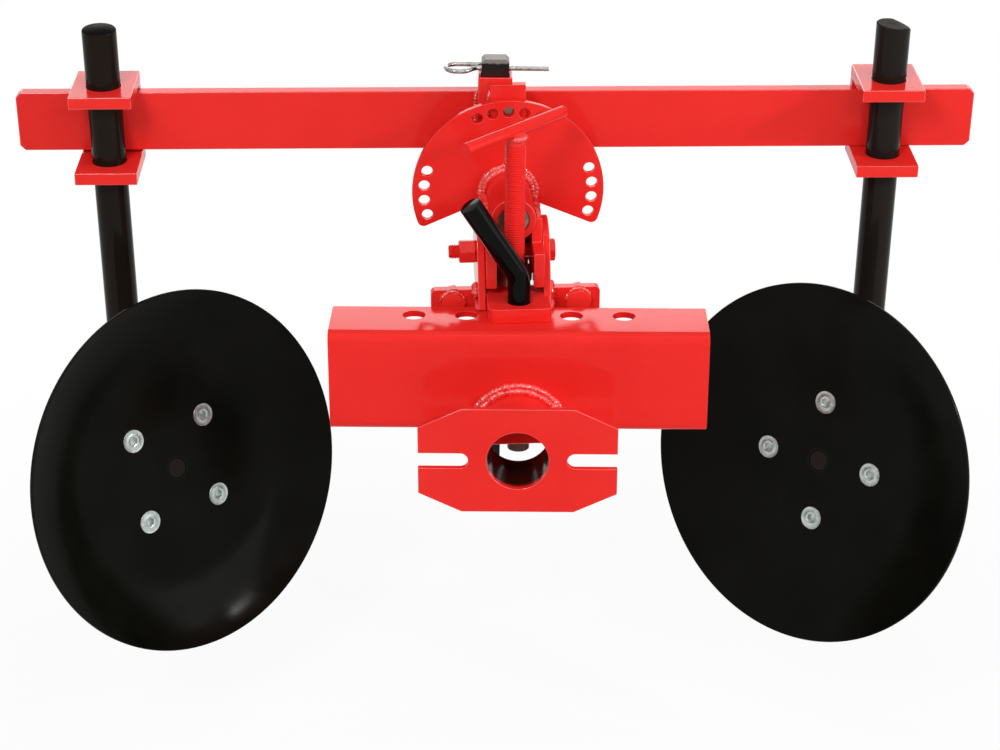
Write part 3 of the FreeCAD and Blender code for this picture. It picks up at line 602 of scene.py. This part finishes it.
def bead(route, radius, at, seed, closed=False, pitch=3.2 * MM, around=12):
    """A weld bead: overlapping ripples and lumps along a route."""
    route = [Vector(p) for p in route]
    if closed:
        route.append(route[0])
    stops, total = stops_along(route, 0.55 * MM, closed)
    side = stops[0][1].orthogonal().normalized()
    points = []
    for p, way, travel in stops:
        side = (side - way * side.dot(way)).normalized()
        up = way.cross(side)
        taper = 1.0
        if not closed:
            taper = min(1.0, 0.35 + min(travel, total - travel) / (2.2 * radius))
        lump = 0.30 * noise.noise(Vector((travel * 160, seed * 7.1, 0)))
        sway = 0.22 * noise.noise(Vector((travel * 90, seed * 3.3, 5)))
        drift = 0.35 * noise.noise(Vector((travel * 60, seed, 2)))
        for k in range(around):
            angle = tau * k / around
            phase = (travel / pitch + 0.22 * cos(angle) + drift) % 1
            ripple = 0.26 * sqrt(phase) - 0.13
            grain = 0.16 * noise.noise(Vector((travel * 700, angle * 2, seed)))
            reach = radius * taper * (1 + lump + ripple + grain)
            points.append(p + side * (reach * cos(angle) + sway * radius) + up * reach * sin(angle))
    return points, ring_faces(len(stops), around, closed), at


def circle(centre, radius, axis, start=0.0, end=tau, steps=72):
    """Points round a circle, or along an arc of it, about the Y or the Z axis."""
    u = Vector((1, 0, 0))
    w = {"Y": Vector((0, 0, 1)), "Z": Vector((0, 1, 0))}[axis]
    full = abs(end - start - tau) < TINY
    angles = [start + (end - start) * k / steps for k in range(steps if full else steps + 1)]
    return [Vector(centre) + (u * cos(a) + w * sin(a)) * radius for a in angles]


# ---- plates and bars ----
# body, rounding of the edges in millimetres, and nodes
PLATES = (
    ("hitch", 2.0, ("hitch_channel",)),
    ("hitch", 0.7, ("hitch_flange",)),
    ("yoke", 1.4, ("upper_tongue", "lower_tongue", "stop_bar")),
    ("yoke", 0.8, ("yoke_back", "cheek_left", "cheek_right")),
    ("head", 0.8, ("head_plate_left", "head_plate_right", "roll_tube", "sector_plate")),
    ("beam", 1.0, ("tool_beam",)),
    ("beam", 0.9, ("roll_plate", "bar_socket", "upper_lug_left", "upper_lug_right", "lower_lug_left",
                   "lower_lug_right", "clamp_plate_left", "clamp_plate_right")),
)
for body, width, nodes in PLATES:
    for node in nodes:
        soften(node, body, RED, width * MM, 3)
# the hitch tube's bore is painted near-black inside: painted shade
soften("hitch_tube", "hitch", SHADED_BORE_RED, 0.8 * MM, 3)
# the web between the head plates gets near-black red: painted shade
soften("head_web", "head", SHADED_WEB_RED, 0.8 * MM)
soften("drop_bar", "centre_bar", BAR_BLACK, 1.0 * MM)
soften("bar_clip", "centre_bar", CLIP_STEEL, 0.5 * MM)
soften("roll_shaft", "beam", BARE)
soften("lock_pin", "beam", BARE, 1.0 * MM)
soften("screw_nut", "head", BARE)


# ---- hitch pin ----
def handle_route():
    """The bent pin's middle line: its foot, its corner and its free end, with its radius."""
    low, high = extent("hitch_pin", YOKE)
    turn = YOKE.to_3x3().inverted()
    # the free end is flat: of the faces that look left and not straight up, it has the most area
    areas = {}
    for face in frame["nodes"]["hitch_pin"].data.polygons:
        normal = turn @ face.normal
        if normal.z < 0.95 and normal.x < -0.2:
            key = tuple(round(v, 2) for v in normal)
            areas[key] = areas.get(key, 0) + face.area
    out = Vector(max(areas, key=areas.get)).normalized()
    seen = points_of("hitch_pin", YOKE)
    top = max(p.dot(out) for p in seen)
    face_low, face_high = corners([p for p in seen if p.dot(out) > top - 0.3 * MM])
    end = (face_low + face_high) / 2
    rise = hypot(end.x, end.y) * out.z / hypot(out.x, out.y)
    return Vector((0, 0, low.z)), Vector((0, 0, end.z - rise)), end, high.x


def hitch_pin():
    foot, corner, tip, radius = handle_route()
    bar = sweep(rounded_route(foot, corner, tip, PIN_BEND), radius, YOKE, 56, 1.2 * MM)
    finish_piece(build("hitch_pin_bent", [bar], PIN_BLACK), "yoke", ("hitch_pin",))


hitch_pin()


# ---- depth screw and its crossbar ----
def crossbar():
    """The crossbar's middle, radius, turn about the screw and half length, from its box."""
    low, high = extent("screw_handle", HEAD)
    radius = (high.z - low.z) / 2
    half_x = (high.x - low.x) / 2
    half_y = (high.y - low.y) / 2
    yaw = radians(45)
    for _ in range(8):
        yaw = atan2(half_y - radius * cos(yaw), half_x - radius * sin(yaw))
    return (low + high) / 2, radius, yaw, (half_x - radius * sin(yaw)) / cos(yaw)


def depth_screw():
    """A screw that is threaded below a plain neck, with the crossbar on top."""
    low, high = extent("depth_screw", HEAD)
    at = about(((low.x + high.x) / 2, (low.y + high.y) / 2, 0), (0, 0, 1), HEAD)
    radius = (high.x - low.x) / 2
    neck_z = extent("screw_handle", HEAD)[0].z - 4 * MM
    parts = [
        core(radius, SCREW_PITCH, low.z, neck_z, at),
        thread(radius, SCREW_PITCH, low.z + 0.5 * MM, neck_z - 0.5 * MM, at),
        lathe([(0.90 * radius, neck_z - 3 * MM), (0.90 * radius, bar_middle.z)], at, 48),
    ]
    finish_piece(build("depth_screw_threaded", parts, RED), "head", ("depth_screw",))
    reach = Vector((cos(bar_yaw), sin(bar_yaw), 0)) * bar_half
    bar = sweep([bar_middle - reach, bar_middle, bar_middle + reach], bar_radius, HEAD, 48, 1.0 * MM)
    finish_piece(build("screw_handle_round", [bar], RED), "head", ("screw_handle",))


bar_middle, bar_radius, bar_yaw, bar_half = crossbar()
depth_screw()


# ---- bolts ----
PIVOT_HEX = 21 * MM         # across the flats, as for each hexagon
PIVOT_BOLT = 14 * MM
STOP_HEX = 22 * MM
STOP_NUT_HEX = 19 * MM
STOP_NUT_THICK = 11 * MM
STOP_BOLT = 12 * MM
CLAMP_HEX = 22 * MM
CLAMP_HEAD_THICK = 9 * MM
CLAMP_NUT_THICK = 13 * MM
CLAMP_BOLT = 14 * MM


def fastener(name, body, material, node, axis, spans, turn=0.0):
    """A bolt or nut along an axis, of hexagons, plain runs and threads."""
    parts = []
    for kind, size, start, end in spans:
        if kind == "hex":
            parts.append(hexagon(size, start, end, axis, turn))
        elif kind == "plain":
            parts.append(lathe([(size / 2, start), (size / 2, end)], axis, 40))
        else:
            parts.append(core(size / 2, COARSE_PITCH, start, end, axis))
            parts.append(thread(size / 2, COARSE_PITCH, start + 0.3 * MM, end - 0.3 * MM, axis))
    finish_piece(build(name, parts, material), body, (node,))


def pivot_bolt():
    """The pivot bolt across the cheeks, and its nut."""
    low, high = extent("pivot_bolt", YOKE)
    axis = about((0, (low.y + high.y) / 2, (low.z + high.z) / 2), (1, 0, 0), YOKE)
    nut_low, nut_high = extent("pivot_nut", YOKE)
    cheek_out = extent("cheek_right", YOKE)[1].x
    fastener("pivot_bolt_cut", "yoke", RED, "pivot_bolt", axis, (
        ("hex", PIVOT_HEX, cheek_out, high.x),
        ("plain", PIVOT_BOLT, nut_high.x, cheek_out),
        ("thread", PIVOT_BOLT, low.x, nut_high.x)), radians(30))
    fastener("pivot_nut_cut", "yoke", RED, "pivot_nut", axis, (
        ("hex", PIVOT_HEX, nut_low.x, nut_high.x),), radians(30))


def stop_bolt(side):
    """A stop bolt with its head in front of the stop bar and its nut behind."""
    low, high = extent("stop_bolt_" + side, YOKE)
    axis = about(((low.x + high.x) / 2, 0, (low.z + high.z) / 2), (0, 1, 0), YOKE)
    front, rear = (corner.y for corner in extent("stop_bar", YOKE))
    fastener("stop_bolt_cut_" + side, "yoke", RED, "stop_bolt_" + side, axis, (
        ("hex", STOP_HEX, low.y, front), ("plain", STOP_BOLT, front, rear),
        ("hex", STOP_NUT_HEX, rear, rear + STOP_NUT_THICK), ("thread", STOP_BOLT, rear + 1 * MM, high.y)))


def clamp_bolt(side):
    """A clamp bolt with its head at the rear, and a nut on the clamp plate."""
    low, high = extent("clamp_bolt_" + side, BEAM)
    axis = about(((low.x + high.x) / 2, 0, (low.z + high.z) / 2), (0, 1, 0), BEAM)
    plate = extent("clamp_plate_" + side, BEAM)[1].y
    rear = high.y
    fastener("clamp_bolt_cut_" + side, "beam", ZINC, "clamp_bolt_" + side, axis, (
        ("hex", CLAMP_HEX, rear - CLAMP_HEAD_THICK, rear), ("hex", CLAMP_HEX, plate, plate + CLAMP_NUT_THICK),
        ("thread", CLAMP_BOLT, low.y, rear - CLAMP_HEAD_THICK + 1 * MM)))


pivot_bolt()
for side in SIDES:
    stop_bolt(side)
    clamp_bolt(side)


# ---- shanks ----
def capped_end(radius, top):
    """Profile of a pressed cap with a rounded shoulder and a low crown."""
    shoulder = 3.5 * MM
    crown = top - 2.2 * MM
    profile = [(radius - shoulder + shoulder * cos(t * tau / 32),
                crown - shoulder + shoulder * sin(t * tau / 32)) for t in range(7)]
    return profile + [(0.66 * radius, crown + 0.9 * MM), (0.4 * radius, crown + 1.8 * MM),
                      (0.15 * radius, crown + 2.1 * MM), (TINY, crown + 2.2 * MM)]


def sawn_end(radius, top):
    """Profile of a sawn end with its burr taken off."""
    burr = 0.9 * MM
    return [(radius, top - burr), (radius - burr, top), (0.6 * radius, top), (TINY, top)]


def saw_askew(points, radius, top):
    """Lean a sawn end a little, and knock its corner off at one side."""
    lean = 0.10
    knock = 0.35
    for p in points:
        if p.z > top - 2 * MM:
            past = max(0.0, 0.85 * p.x + 0.3 * p.y - knock * radius)
            p.z -= lean * (p.x + radius) + past * knock


def end_face(piece, at, material):
    """Give another finish to the faces that look up out of a piece's top end."""
    piece.data.materials.append(material)
    up = at.col[2].to_3d().normalized()
    top = max(v.co.dot(up) for v in piece.data.vertices)
    for face in piece.data.polygons:
        if face.normal.dot(up) > 0.45 and face.center.dot(up) > top - 12 * MM:
            face.material_index = 1


def shank(side):
    """A shank with an open foot and a closed top: capped on the left, sawn off on the right."""
    low, high = extent("shank_" + side, ARM[side])
    radius = high.x
    bore = radius - SHANK_WALL * radius
    plug = low.z + 8 * MM
    profile = [(TINY, plug), (bore, plug), (bore, low.z),
               (radius - 0.5 * MM, low.z), (radius, low.z + 0.5 * MM)]
    profile += capped_end(radius, high.z) if side == "left" else sawn_end(radius, high.z)
    points, faces, at = lathe(profile, ARM[side], 96)
    if side == "right":
        saw_askew(points, radius, high.z)
    piece = build("shank_round_" + side, [(points, faces, at)], TUBE_BLACK)
    end_face(piece, at, CAP_BLACK)
    finish_piece(piece, "disc_arm_" + side, ("shank_" + side,))


for side in SIDES:
    shank(side)
    soften("knuckle_" + side, "disc_arm_" + side, TUBE_BLACK, 0.8 * MM)
    soften("spindle_" + side, "disc_arm_" + side, DARK_STEEL)


# ---- discs and hubs ----
DISH_KEPT = 0.85            # share of the rim's radius beyond which the CAD's arc is kept
DISH_LEVEL = 0.25           # share of the CAD's flat that stays level
DISC_KEY = 8 * MM           # socket, across its flats
DISC_NUT_HEX = 19 * MM
DISC_NUT_THICK = 11 * MM
DISC_BOLT = 12 * MM
HUB_BEAD = 31.6 * MM        # radius of the weld round the hub


def arc_through(a, b, c, steps):
    """Points on the circle through three (radius, height) points, from the first to the last."""
    (ax, ay), (bx, by), (cx, cy) = a, b, c
    d = 2 * (ax * (by - cy) + bx * (cy - ay) + cx * (ay - by))
    a2, b2, c2 = (x * x + y * y for x, y in (a, b, c))
    ux = (a2 * (by - cy) + b2 * (cy - ay) + c2 * (ay - by)) / d
    uy = (a2 * (cx - bx) + b2 * (ax - cx) + c2 * (bx - ax)) / d
    r = hypot(ax - ux, ay - uy)
    first = atan2(ay - uy, ax - ux)
    last = atan2(cy - uy, cx - ux)
    angles = [first + (last - first) * k / steps for k in range(steps + 1)]
    return [(ux + r * cos(angle), uy + r * sin(angle)) for angle in angles]


def eased(start, end, slope, steps):
    """A curve that leaves level and arrives with a slope."""
    run = end[0] - start[0]
    rise = end[1] - start[1]
    curve = []
    for k in range(steps + 1):
        t = k / steps
        curve.append((start[0] + run * t,
                      start[1] + rise * (3 * t * t - 2 * t ** 3) + slope * run * (t ** 3 - t * t)))
    return curve


def disc_rings(side):
    """Radius and height of the CAD disc's rings of points on its hollow face."""
    best = {}
    for p in points_of("disc_" + side, WHEEL[side]):
        radius = round(hypot(p.x, p.y), 4)
        best[radius] = max(best.get(radius, -1), p.z)
    return sorted(best.items())


def hollow_face(side):
    """Profile of a disc's hollow face from its hole to its rim, and the height of its flat middle.

    The CAD's dish is an arc from a flat middle. Here it keeps that arc near the rim only, and
    eases into the flat further in, so that no crease shows.
    """
    low, high = extent("disc_" + side, WHEEL[side])
    rim = high.x
    top = low.z + DISC_THICK
    rings = disc_rings(side)
    hole = rings[0][0]
    flat = max(r for r, z in rings if z < top + 0.05 * MM and r < 0.6 * rim)
    dish = [(r, z) for r, z in rings if r > flat + 1 * MM]
    middle = min(dish, key=lambda ring: abs(ring[0] - (flat + rim) / 2))
    arc = [ring for ring in arc_through((flat, top), middle, (rim, high.z), 60) if ring[0] > DISH_KEPT * rim]
    slope = (arc[1][1] - arc[0][1]) / (arc[1][0] - arc[0][0])
    inner = DISH_LEVEL * flat
    face = [(hole + 0.5 * MM, top)] + [(hole + (inner - hole) * k / 4, top) for k in range(1, 4)]
    face += eased((inner, top), arc[0], slope, 56)[:-1] + arc[:-1]
    face.append((rim - DISC_EDGE, arc[-1][1] - 0.25 * DISC_EDGE))
    return face, top


def disc_section(face, rim, lip):
    """Closed profile of a disc round its hollow face, with a rounded rim whose lip is at a height."""
    nose = [(rim - DISC_EDGE * (1 - sin(t)), lip - DISC_EDGE * (1 - cos(t)) - 0.12 * DISC_EDGE)
            for t in (0.5, 0.9, 1.3)]
    tail = [(r, -DISC_THICK - z - 0.24 * DISC_EDGE) for r, z in nose[::-1]]
    rear = [(r, z - DISC_THICK) for r, z in face[::-1]]
    return face + nose + tail + rear


def bolt_places(side, top):
    """Middles of the disc's bolts on its hollow face."""
    heads = [p for p in points_of("disc_bolts_" + side, WHEEL[side]) if p.z > top - 0.2 * MM]
    groups = []
    for p in heads:
        for group in groups:
            if (group[0] - p).length < 30 * MM:
                group.append(p)
                break
        else:
            groups.append([p])
    boxes = [corners(group) for group in groups]
    return [Vector(((low.x + high.x) / 2, (low.y + high.y) / 2, 0)) for low, high in boxes]


def seat_on(profile, spot):
    """A frame on a turned surface at a spot, its Z square to the surface."""
    reach = hypot(spot.x, spot.y)
    (r0, z0), (r1, z1) = next((a, b) for a, b in zip(profile, profile[1:]) if a[0] <= reach < b[0])
    lean = (z1 - z0) / (r1 - r0)
    lift = z0 + (reach - r0) * lean
    tangent = Vector((-spot.y, spot.x, 0)) / reach
    return Matrix.Translation(Vector((spot.x, spot.y, lift))) @ Matrix.Rotation(-atan(lean), 4, tangent)


def countersink(seat):
    """The space that a countersunk head and its bolt take out of a disc."""
    return lathe([(13.3 * MM, 1 * MM), (12.3 * MM, 0), (6.4 * MM, -3.6 * MM), (6.4 * MM, -9 * MM)], seat, 48)


def socket_head(at, around=72):
    """Countersunk head with a hexagon socket, its shank and its end."""
    key = hexagon_reach(DISC_KEY, around)
    rows = [[(TINY, -4.6 * MM)] * around, [(r, -4.2 * MM) for r in key], [(r, -0.5 * MM) for r in key]]
    for radius, z in ((5.2, -0.05), (6.6, -0.05), (7.0, -0.2), (10.2, -0.2), (10.8, -0.05), (11.3, -0.05),
                      (11.6, -0.5), (6.0, -3.4), (6.0, -26.6), (5.4, -28.0)):
        rows.append([(radius * MM, z * MM)] * around)
    return turned(rows, at, around)


def disc(side):
    """A dished disc, and the countersunk bolts and nuts that hold it to its hub."""
    at = WHEEL[side]
    rim, _, lip = extent("disc_" + side, at)[1]
    face, top = hollow_face(side)
    section = disc_section(face, rim, lip)
    plate = build("disc_dished_" + side, [lathe(section, at, 192, looped=True)], DISC_BLACK, 30)
    places = bolt_places(side, top)
    seats = [at @ seat_on(face, spot) for spot in places]
    carve(plate, build("sinks", [countersink(seat) for seat in seats], DISC_BLACK), 18)
    facing = at.col[2].to_3d().normalized()
    for polygon in plate.data.polygons:
        polygon.use_smooth = abs(polygon.normal.dot(facing)) < 0.99999
    plate.modifiers.new("shading", "WEIGHTED_NORMAL").keep_sharp = True
    finish_piece(plate, "disc_wheel_" + side, ("disc_" + side,))
    hub_rear = top - DISC_THICK - HUB_FLANGE
    parts = []
    for spot, seat in zip(places, seats):
        bolt_at = at @ Matrix.Translation(spot)
        parts.append(socket_head(seat))
        parts.append(hexagon(DISC_NUT_HEX, hub_rear - DISC_NUT_THICK, hub_rear, bolt_at))
        parts.append(thread(DISC_BOLT / 2, COARSE_PITCH, hub_rear - 13.6 * MM, hub_rear - 9 * MM, bolt_at))
    bolts = build("disc_bolts_cut_" + side, parts, ZINC)
    finish_piece(bolts, "disc_wheel_" + side, ("disc_bolts_" + side,))


for side in SIDES:
    disc(side)
    soften("hub_" + side, "disc_wheel_" + side, TUBE_BLACK, 0.7 * MM)


# ---- welds: each bead has its own seed for its ripples and lumps ----
def weld(name, body, parts, material=WELD_RED):
    finish_piece(build(name, parts, material, 60), body)


def hitch_welds():
    """Two beads where the tube meets the channel, and one where it meets the flange."""
    low, high = extent("hitch_tube", HITCH)
    inner = circle((0, high.y - 1.4 * MM, 0), high.x + 2.0 * MM, "Y")
    outer = circle((0, high.y + 0.6 * MM, 0), high.x + 6.6 * MM, "Y")
    front = circle((0, low.y + 1.0 * MM, 0), high.x + 1.2 * MM, "Y")
    weld("hitch_welds", "hitch", [
        bead(inner, 4.2 * MM, HITCH, 1, True, 3.4 * MM, 14),
        bead(outer, 4.0 * MM, HITCH, 21, True, 3.8 * MM, 14),
        bead(front, 3.4 * MM, HITCH, 2, True),
    ])


def yoke_welds():
    low, high = extent("stop_bar", YOKE)
    bar_front = low.y - 1 * MM
    # the stop bar's front on the tongue
    tongue_low, tongue_high = extent("upper_tongue", YOKE)
    seam = ((tongue_low.x + 2 * MM, bar_front, high.z), (tongue_high.x - 6 * MM, bar_front, high.z))
    parts = [bead(seam, 2.6 * MM, YOKE, 3)]
    # the cheeks on the stop bar's front, on its top and on the tongue
    foot = extent("cheek_left", YOKE)[0].z
    for seed, x, out in ((4, extent("cheek_left", YOKE)[0].x, -1), (5, extent("cheek_right", YOKE)[1].x, 1)):
        near = x + out * 0.5 * MM
        off = x + out * 1 * MM
        front = ((near, bar_front, high.z + 3 * MM), (x + out * 2.5 * MM, low.y - 1.5 * MM, foot + 1 * MM))
        ledge = ((off, bar_front, high.z + 1.5 * MM), (off, high.y + 2 * MM, high.z + 1.5 * MM))
        tongue = ((near, tongue_low.y + 34 * MM, foot + 0.5 * MM), (near, low.y - 2 * MM, foot + 0.5 * MM))
        parts.append(bead(front, 5.0 * MM, YOKE, seed))
        parts.append(bead(ledge, 4.2 * MM, YOKE, seed + 10))
        parts.append(bead(tongue, 3.0 * MM, YOKE, seed + 20))
    # the yoke's back on the lower tongue
    back_low, back_high = extent("yoke_back", YOKE)
    y = back_low.y - 0.5 * MM
    z = extent("lower_tongue", YOKE)[1].z + 0.5 * MM
    parts.append(bead(((back_low.x + 2 * MM, y, z), (back_high.x - 2 * MM, y, z)), 3.4 * MM, YOKE, 30))
    # half round the heads of the stop bolts
    for seed, side in ((31, "left"), (32, "right")):
        bolt_low, bolt_high = extent("stop_bolt_" + side, YOKE)
        middle = ((bolt_low.x + bolt_high.x) / 2, low.y - 0.5 * MM, (bolt_low.z + bolt_high.z) / 2)
        parts.append(bead(circle(middle, 11.6 * MM, "Y", 0.1, 3.3), 2.6 * MM, YOKE, seed, pitch=2.6 * MM))
    weld("yoke_welds", "yoke", parts)


def head_welds():
    low, high = extent("roll_tube", HEAD)
    axis_z = (low.z + high.z) / 2
    sector_face = extent("sector_plate", HEAD)[0].y
    # two beads round the roll tube on the index plate
    inner = circle((0, sector_face - 2.0 * MM, axis_z), high.x + 1.6 * MM, "Y")
    outer = circle((0, sector_face - 0.4 * MM, axis_z), high.x + 5.2 * MM, "Y")
    parts = [
        bead(inner, 3.8 * MM, HEAD, 6, True, 3.4 * MM, 14),
        bead(outer, 3.6 * MM, HEAD, 26, True, 3.8 * MM, 14),
    ]
    # the head plates on the tube, and the web between them
    plate_x = extent("head_plate_right", HEAD)[1].x - 4 * MM
    web_low, web_high = extent("head_web", HEAD)
    z = axis_z + 0.5 * MM
    for seed, out in ((7, -1), (8, 1)):
        x = out * plate_x
        web_x = out * web_high.x
        parts.append(bead(((x, low.y + 6 * MM, z), (x, sector_face - 10 * MM, z)), 3.6 * MM, HEAD, seed))
        seam = ((web_x, web_high.y, web_low.z + 18 * MM), (web_x, web_high.y, 20 * MM))
        parts.append(bead(seam, 2.6 * MM, HEAD, seed + 40))
    # the crossbar on the depth screw
    neck = bar_middle + Vector((0, 0, -bar_radius - 0.5 * MM))
    for seed, out in ((9, -1), (10, 1)):
        start = bar_yaw + out * 0.25
        arc = circle(neck, 8.6 * MM, "Z", start, start + out * 2.6, 24)
        parts.append(bead(arc, 2.9 * MM, HEAD, seed, pitch=2.8 * MM))
    weld("head_welds", "head", parts)


def beam_welds():
    """The bar's socket on the beam, and one side of the roll plate."""
    low, high = extent("bar_socket", BEAM)
    plate_low, plate_high = extent("roll_plate", BEAM)
    beam_low, beam_high = extent("tool_beam", BEAM)
    y = beam_low.y - 0.8 * MM
    parts = []
    for seed, x in ((11, low.x + 0.8 * MM), (12, high.x - 0.8 * MM)):
        parts.append(bead(((x, y, beam_low.z + 2 * MM), (x, y, beam_high.z - 1 * MM)), 3.6 * MM, BEAM, seed))
    x = plate_low.x - 0.6 * MM
    y = plate_high.y - 0.6 * MM
    parts.append(bead(((x, y, plate_low.z + 4 * MM), (x, y, plate_high.z - 8 * MM)), 3.0 * MM, BEAM, 13))
    weld("beam_welds", "beam", parts)


def arm_welds(side):
    """Round the shank on its knuckle, and round the hub on its flange."""
    knuckle_top = extent("knuckle_" + side, ARM[side])[1].z
    shank_radius = extent("shank_" + side, ARM[side])[1].x
    ring = circle((0, 0, knuckle_top + 0.6 * MM), shank_radius + 1.4 * MM, "Z")
    ring_bead = bead(ring, 3.4 * MM, ARM[side], 14, True)
    weld("arm_welds_" + side, "disc_arm_" + side, [ring_bead], WELD_BLACK)
    disc_low = extent("disc_" + side, WHEEL[side])[0].z
    ring = circle((0, 0, disc_low - (HUB_FLANGE + 0.6 * MM)), HUB_BEAD, "Z")
    ring_bead = bead(ring, 3.8 * MM, WHEEL[side], 15, True)
    weld("hub_welds_" + side, "disc_wheel_" + side, [ring_bead], WELD_BLACK)


hitch_welds()
yoke_welds()
head_welds()
beam_welds()
for side in SIDES:
    arm_welds(side)


# ---- stage, lights and camera ----
FLOOR_HALF = 9.0                # half the floor's side
FLOOR_CLEARANCE = 15 * MM       # below the lowest place that a disc reaches
FLOOR_GLOW = (0.92, 1.0)        # share of the floor's white that it gives off, near and far
FLOOR_FADE = (0.45, 1.10)       # distances between which that share rises
WORLD_LEVEL = 0.28

# name, place, target, size and watts of each lamp
LAMPS = (
    ("key", (-0.9, -2.0, 1.9), (0, 0.1, 0), (0.75, 0.75), 33),
    ("top", (0.0, -0.60, 2.3), (0, 0.1, 0), (1.8, 0.35), 6),
    ("fill", (0.9, -2.0, 1.5), (0, 0.1, 0), (0.65, 0.65), 8),
    ("back", (0.0, 2.9, 1.42), (0, 0.1, 0.15), (3.2, 0.75), 23),
    ("side", (2.50, -0.66, 0.60), (-0.3, 0.1, -0.1), (1.2, 1.2), 9),
    ("spot_right", (2.36, -0.74, 1.34), (-0.285, 0.127, -0.228), (0.20, 0.20), 21),
)

CAMERA_PLACE = (0.0084, -1.8993, 0.9202)
CAMERA_TURN = (("Z", 0.75), ("X", -23.68), ("Y", -0.10))    # degrees: aim, tilt and roll
LENS = 82.08                    # mm, on a sensor 36 mm wide
SENSOR = 36.0


def seen_directly(tree):
    """1 for camera, glossy and transmission rays, else 0."""
    paths = tree.nodes.new("ShaderNodeLightPath").outputs
    seen = math_node(tree, "MAXIMUM", paths["Is Camera Ray"], paths["Is Glossy Ray"])
    return math_node(tree, "MAXIMUM", seen, paths["Is Transmission Ray"])


def lowest_disc():
    """The lowest height that the discs reach as the beam rolls from stop to stop."""
    pivot = joint_place("roll")
    turns = [Matrix.Rotation(radians(end), 3, joint_axis("roll")) for end in joints["roll"]["range_deg"]]
    points = [p for side in SIDES for p in points_of("disc_" + side, HITCH)]
    return min((pivot + turn @ (point - pivot)).z for turn in turns for point in points)


def make_floor():
    """Pale floor, lit plainly, with part of its white given off so that it meets the background."""
    low, high = (Vector(corner) for corner in cad_bounds)
    mid = (low + high) / 2
    level = lowest_disc() - FLOOR_CLEARANCE
    square = [(mid.x + x * FLOOR_HALF, mid.y + y * FLOOR_HALF, level)
              for x, y in ((-1, -1), (1, -1), (1, 1), (-1, 1))]
    material, tree, bsdf, coords = shader("pale_floor")
    grain = noise_node(tree, coords, scale=3, detail=3)
    tree.links.new(ramp_node(tree, grain, [(0.3, (0.87, 0.87, 0.87)), (0.7, (0.89, 0.89, 0.89))]),
                   bsdf.inputs["Base Color"])
    bsdf.inputs["Roughness"].default_value = 0.9
    bsdf.inputs["Specular IOR Level"].default_value = 0.1
    away = tree.nodes.new("ShaderNodeVectorMath")
    away.operation = "DISTANCE"
    tree.links.new(coords, away.inputs[0])
    away.inputs[1].default_value = (mid.x, mid.y, level)
    share = range_node(tree, away.outputs["Value"], *FLOOR_GLOW, *FLOOR_FADE)
    part = math_node(tree, "MULTIPLY", seen_directly(tree), share)
    glow = tree.nodes.new("ShaderNodeEmission")
    mix_shaders(tree, part, bsdf.outputs[0], glow.outputs[0], "Material Output")
    mesh = bpy.data.meshes.new("floor")
    mesh.from_pydata(square, [], [(0, 1, 2, 3)])
    show("floor", mesh, material)


def make_world():
    """Soft light all round, and plain white behind the object."""
    world = bpy.data.worlds.new("studio")
    bpy.context.scene.world = world
    world.use_nodes = True
    tree = world.node_tree
    soft = tree.nodes["Background"]
    white = tree.nodes.new("ShaderNodeBackground")
    for light, colour, strength in ((soft, (0.97, 0.98, 1.0, 1), WORLD_LEVEL), (white, (1, 1, 1, 1), 1.0)):
        light.inputs["Color"].default_value = colour
        light.inputs["Strength"].default_value = strength
    mix_shaders(tree, seen_directly(tree), soft.outputs[0], white.outputs[0], "World Output")


def lamp(name, at, target, size, power):
    data = bpy.data.lights.new(name, "AREA")
    data.shape = "RECTANGLE"
    data.size, data.size_y = size
    data.energy = power
    light = link(name, data)
    light.location = at
    light.rotation_euler = (Vector(target) - Vector(at)).to_track_quat("-Z", "Y").to_euler()
    light.visible_camera = False


def make_camera():
    turn = Matrix.Identity(3)
    for axis, degrees in CAMERA_TURN:
        turn = turn @ Matrix.Rotation(radians(degrees), 3, axis)
    right, forward, up = turn.col
    pose = Matrix((right, up, -forward)).transposed().to_4x4()
    pose.translation = Vector(CAMERA_PLACE)
    data = bpy.data.cameras.new("camera")
    data.sensor_width = SENSOR
    data.lens = LENS
    camera = link("camera", data)
    camera.matrix_world = pose
    bpy.context.scene.camera = camera


make_floor()
make_world()
for row in LAMPS:
    lamp(*row)
make_camera()
bpy.context.scene.view_settings.view_transform = "Standard"
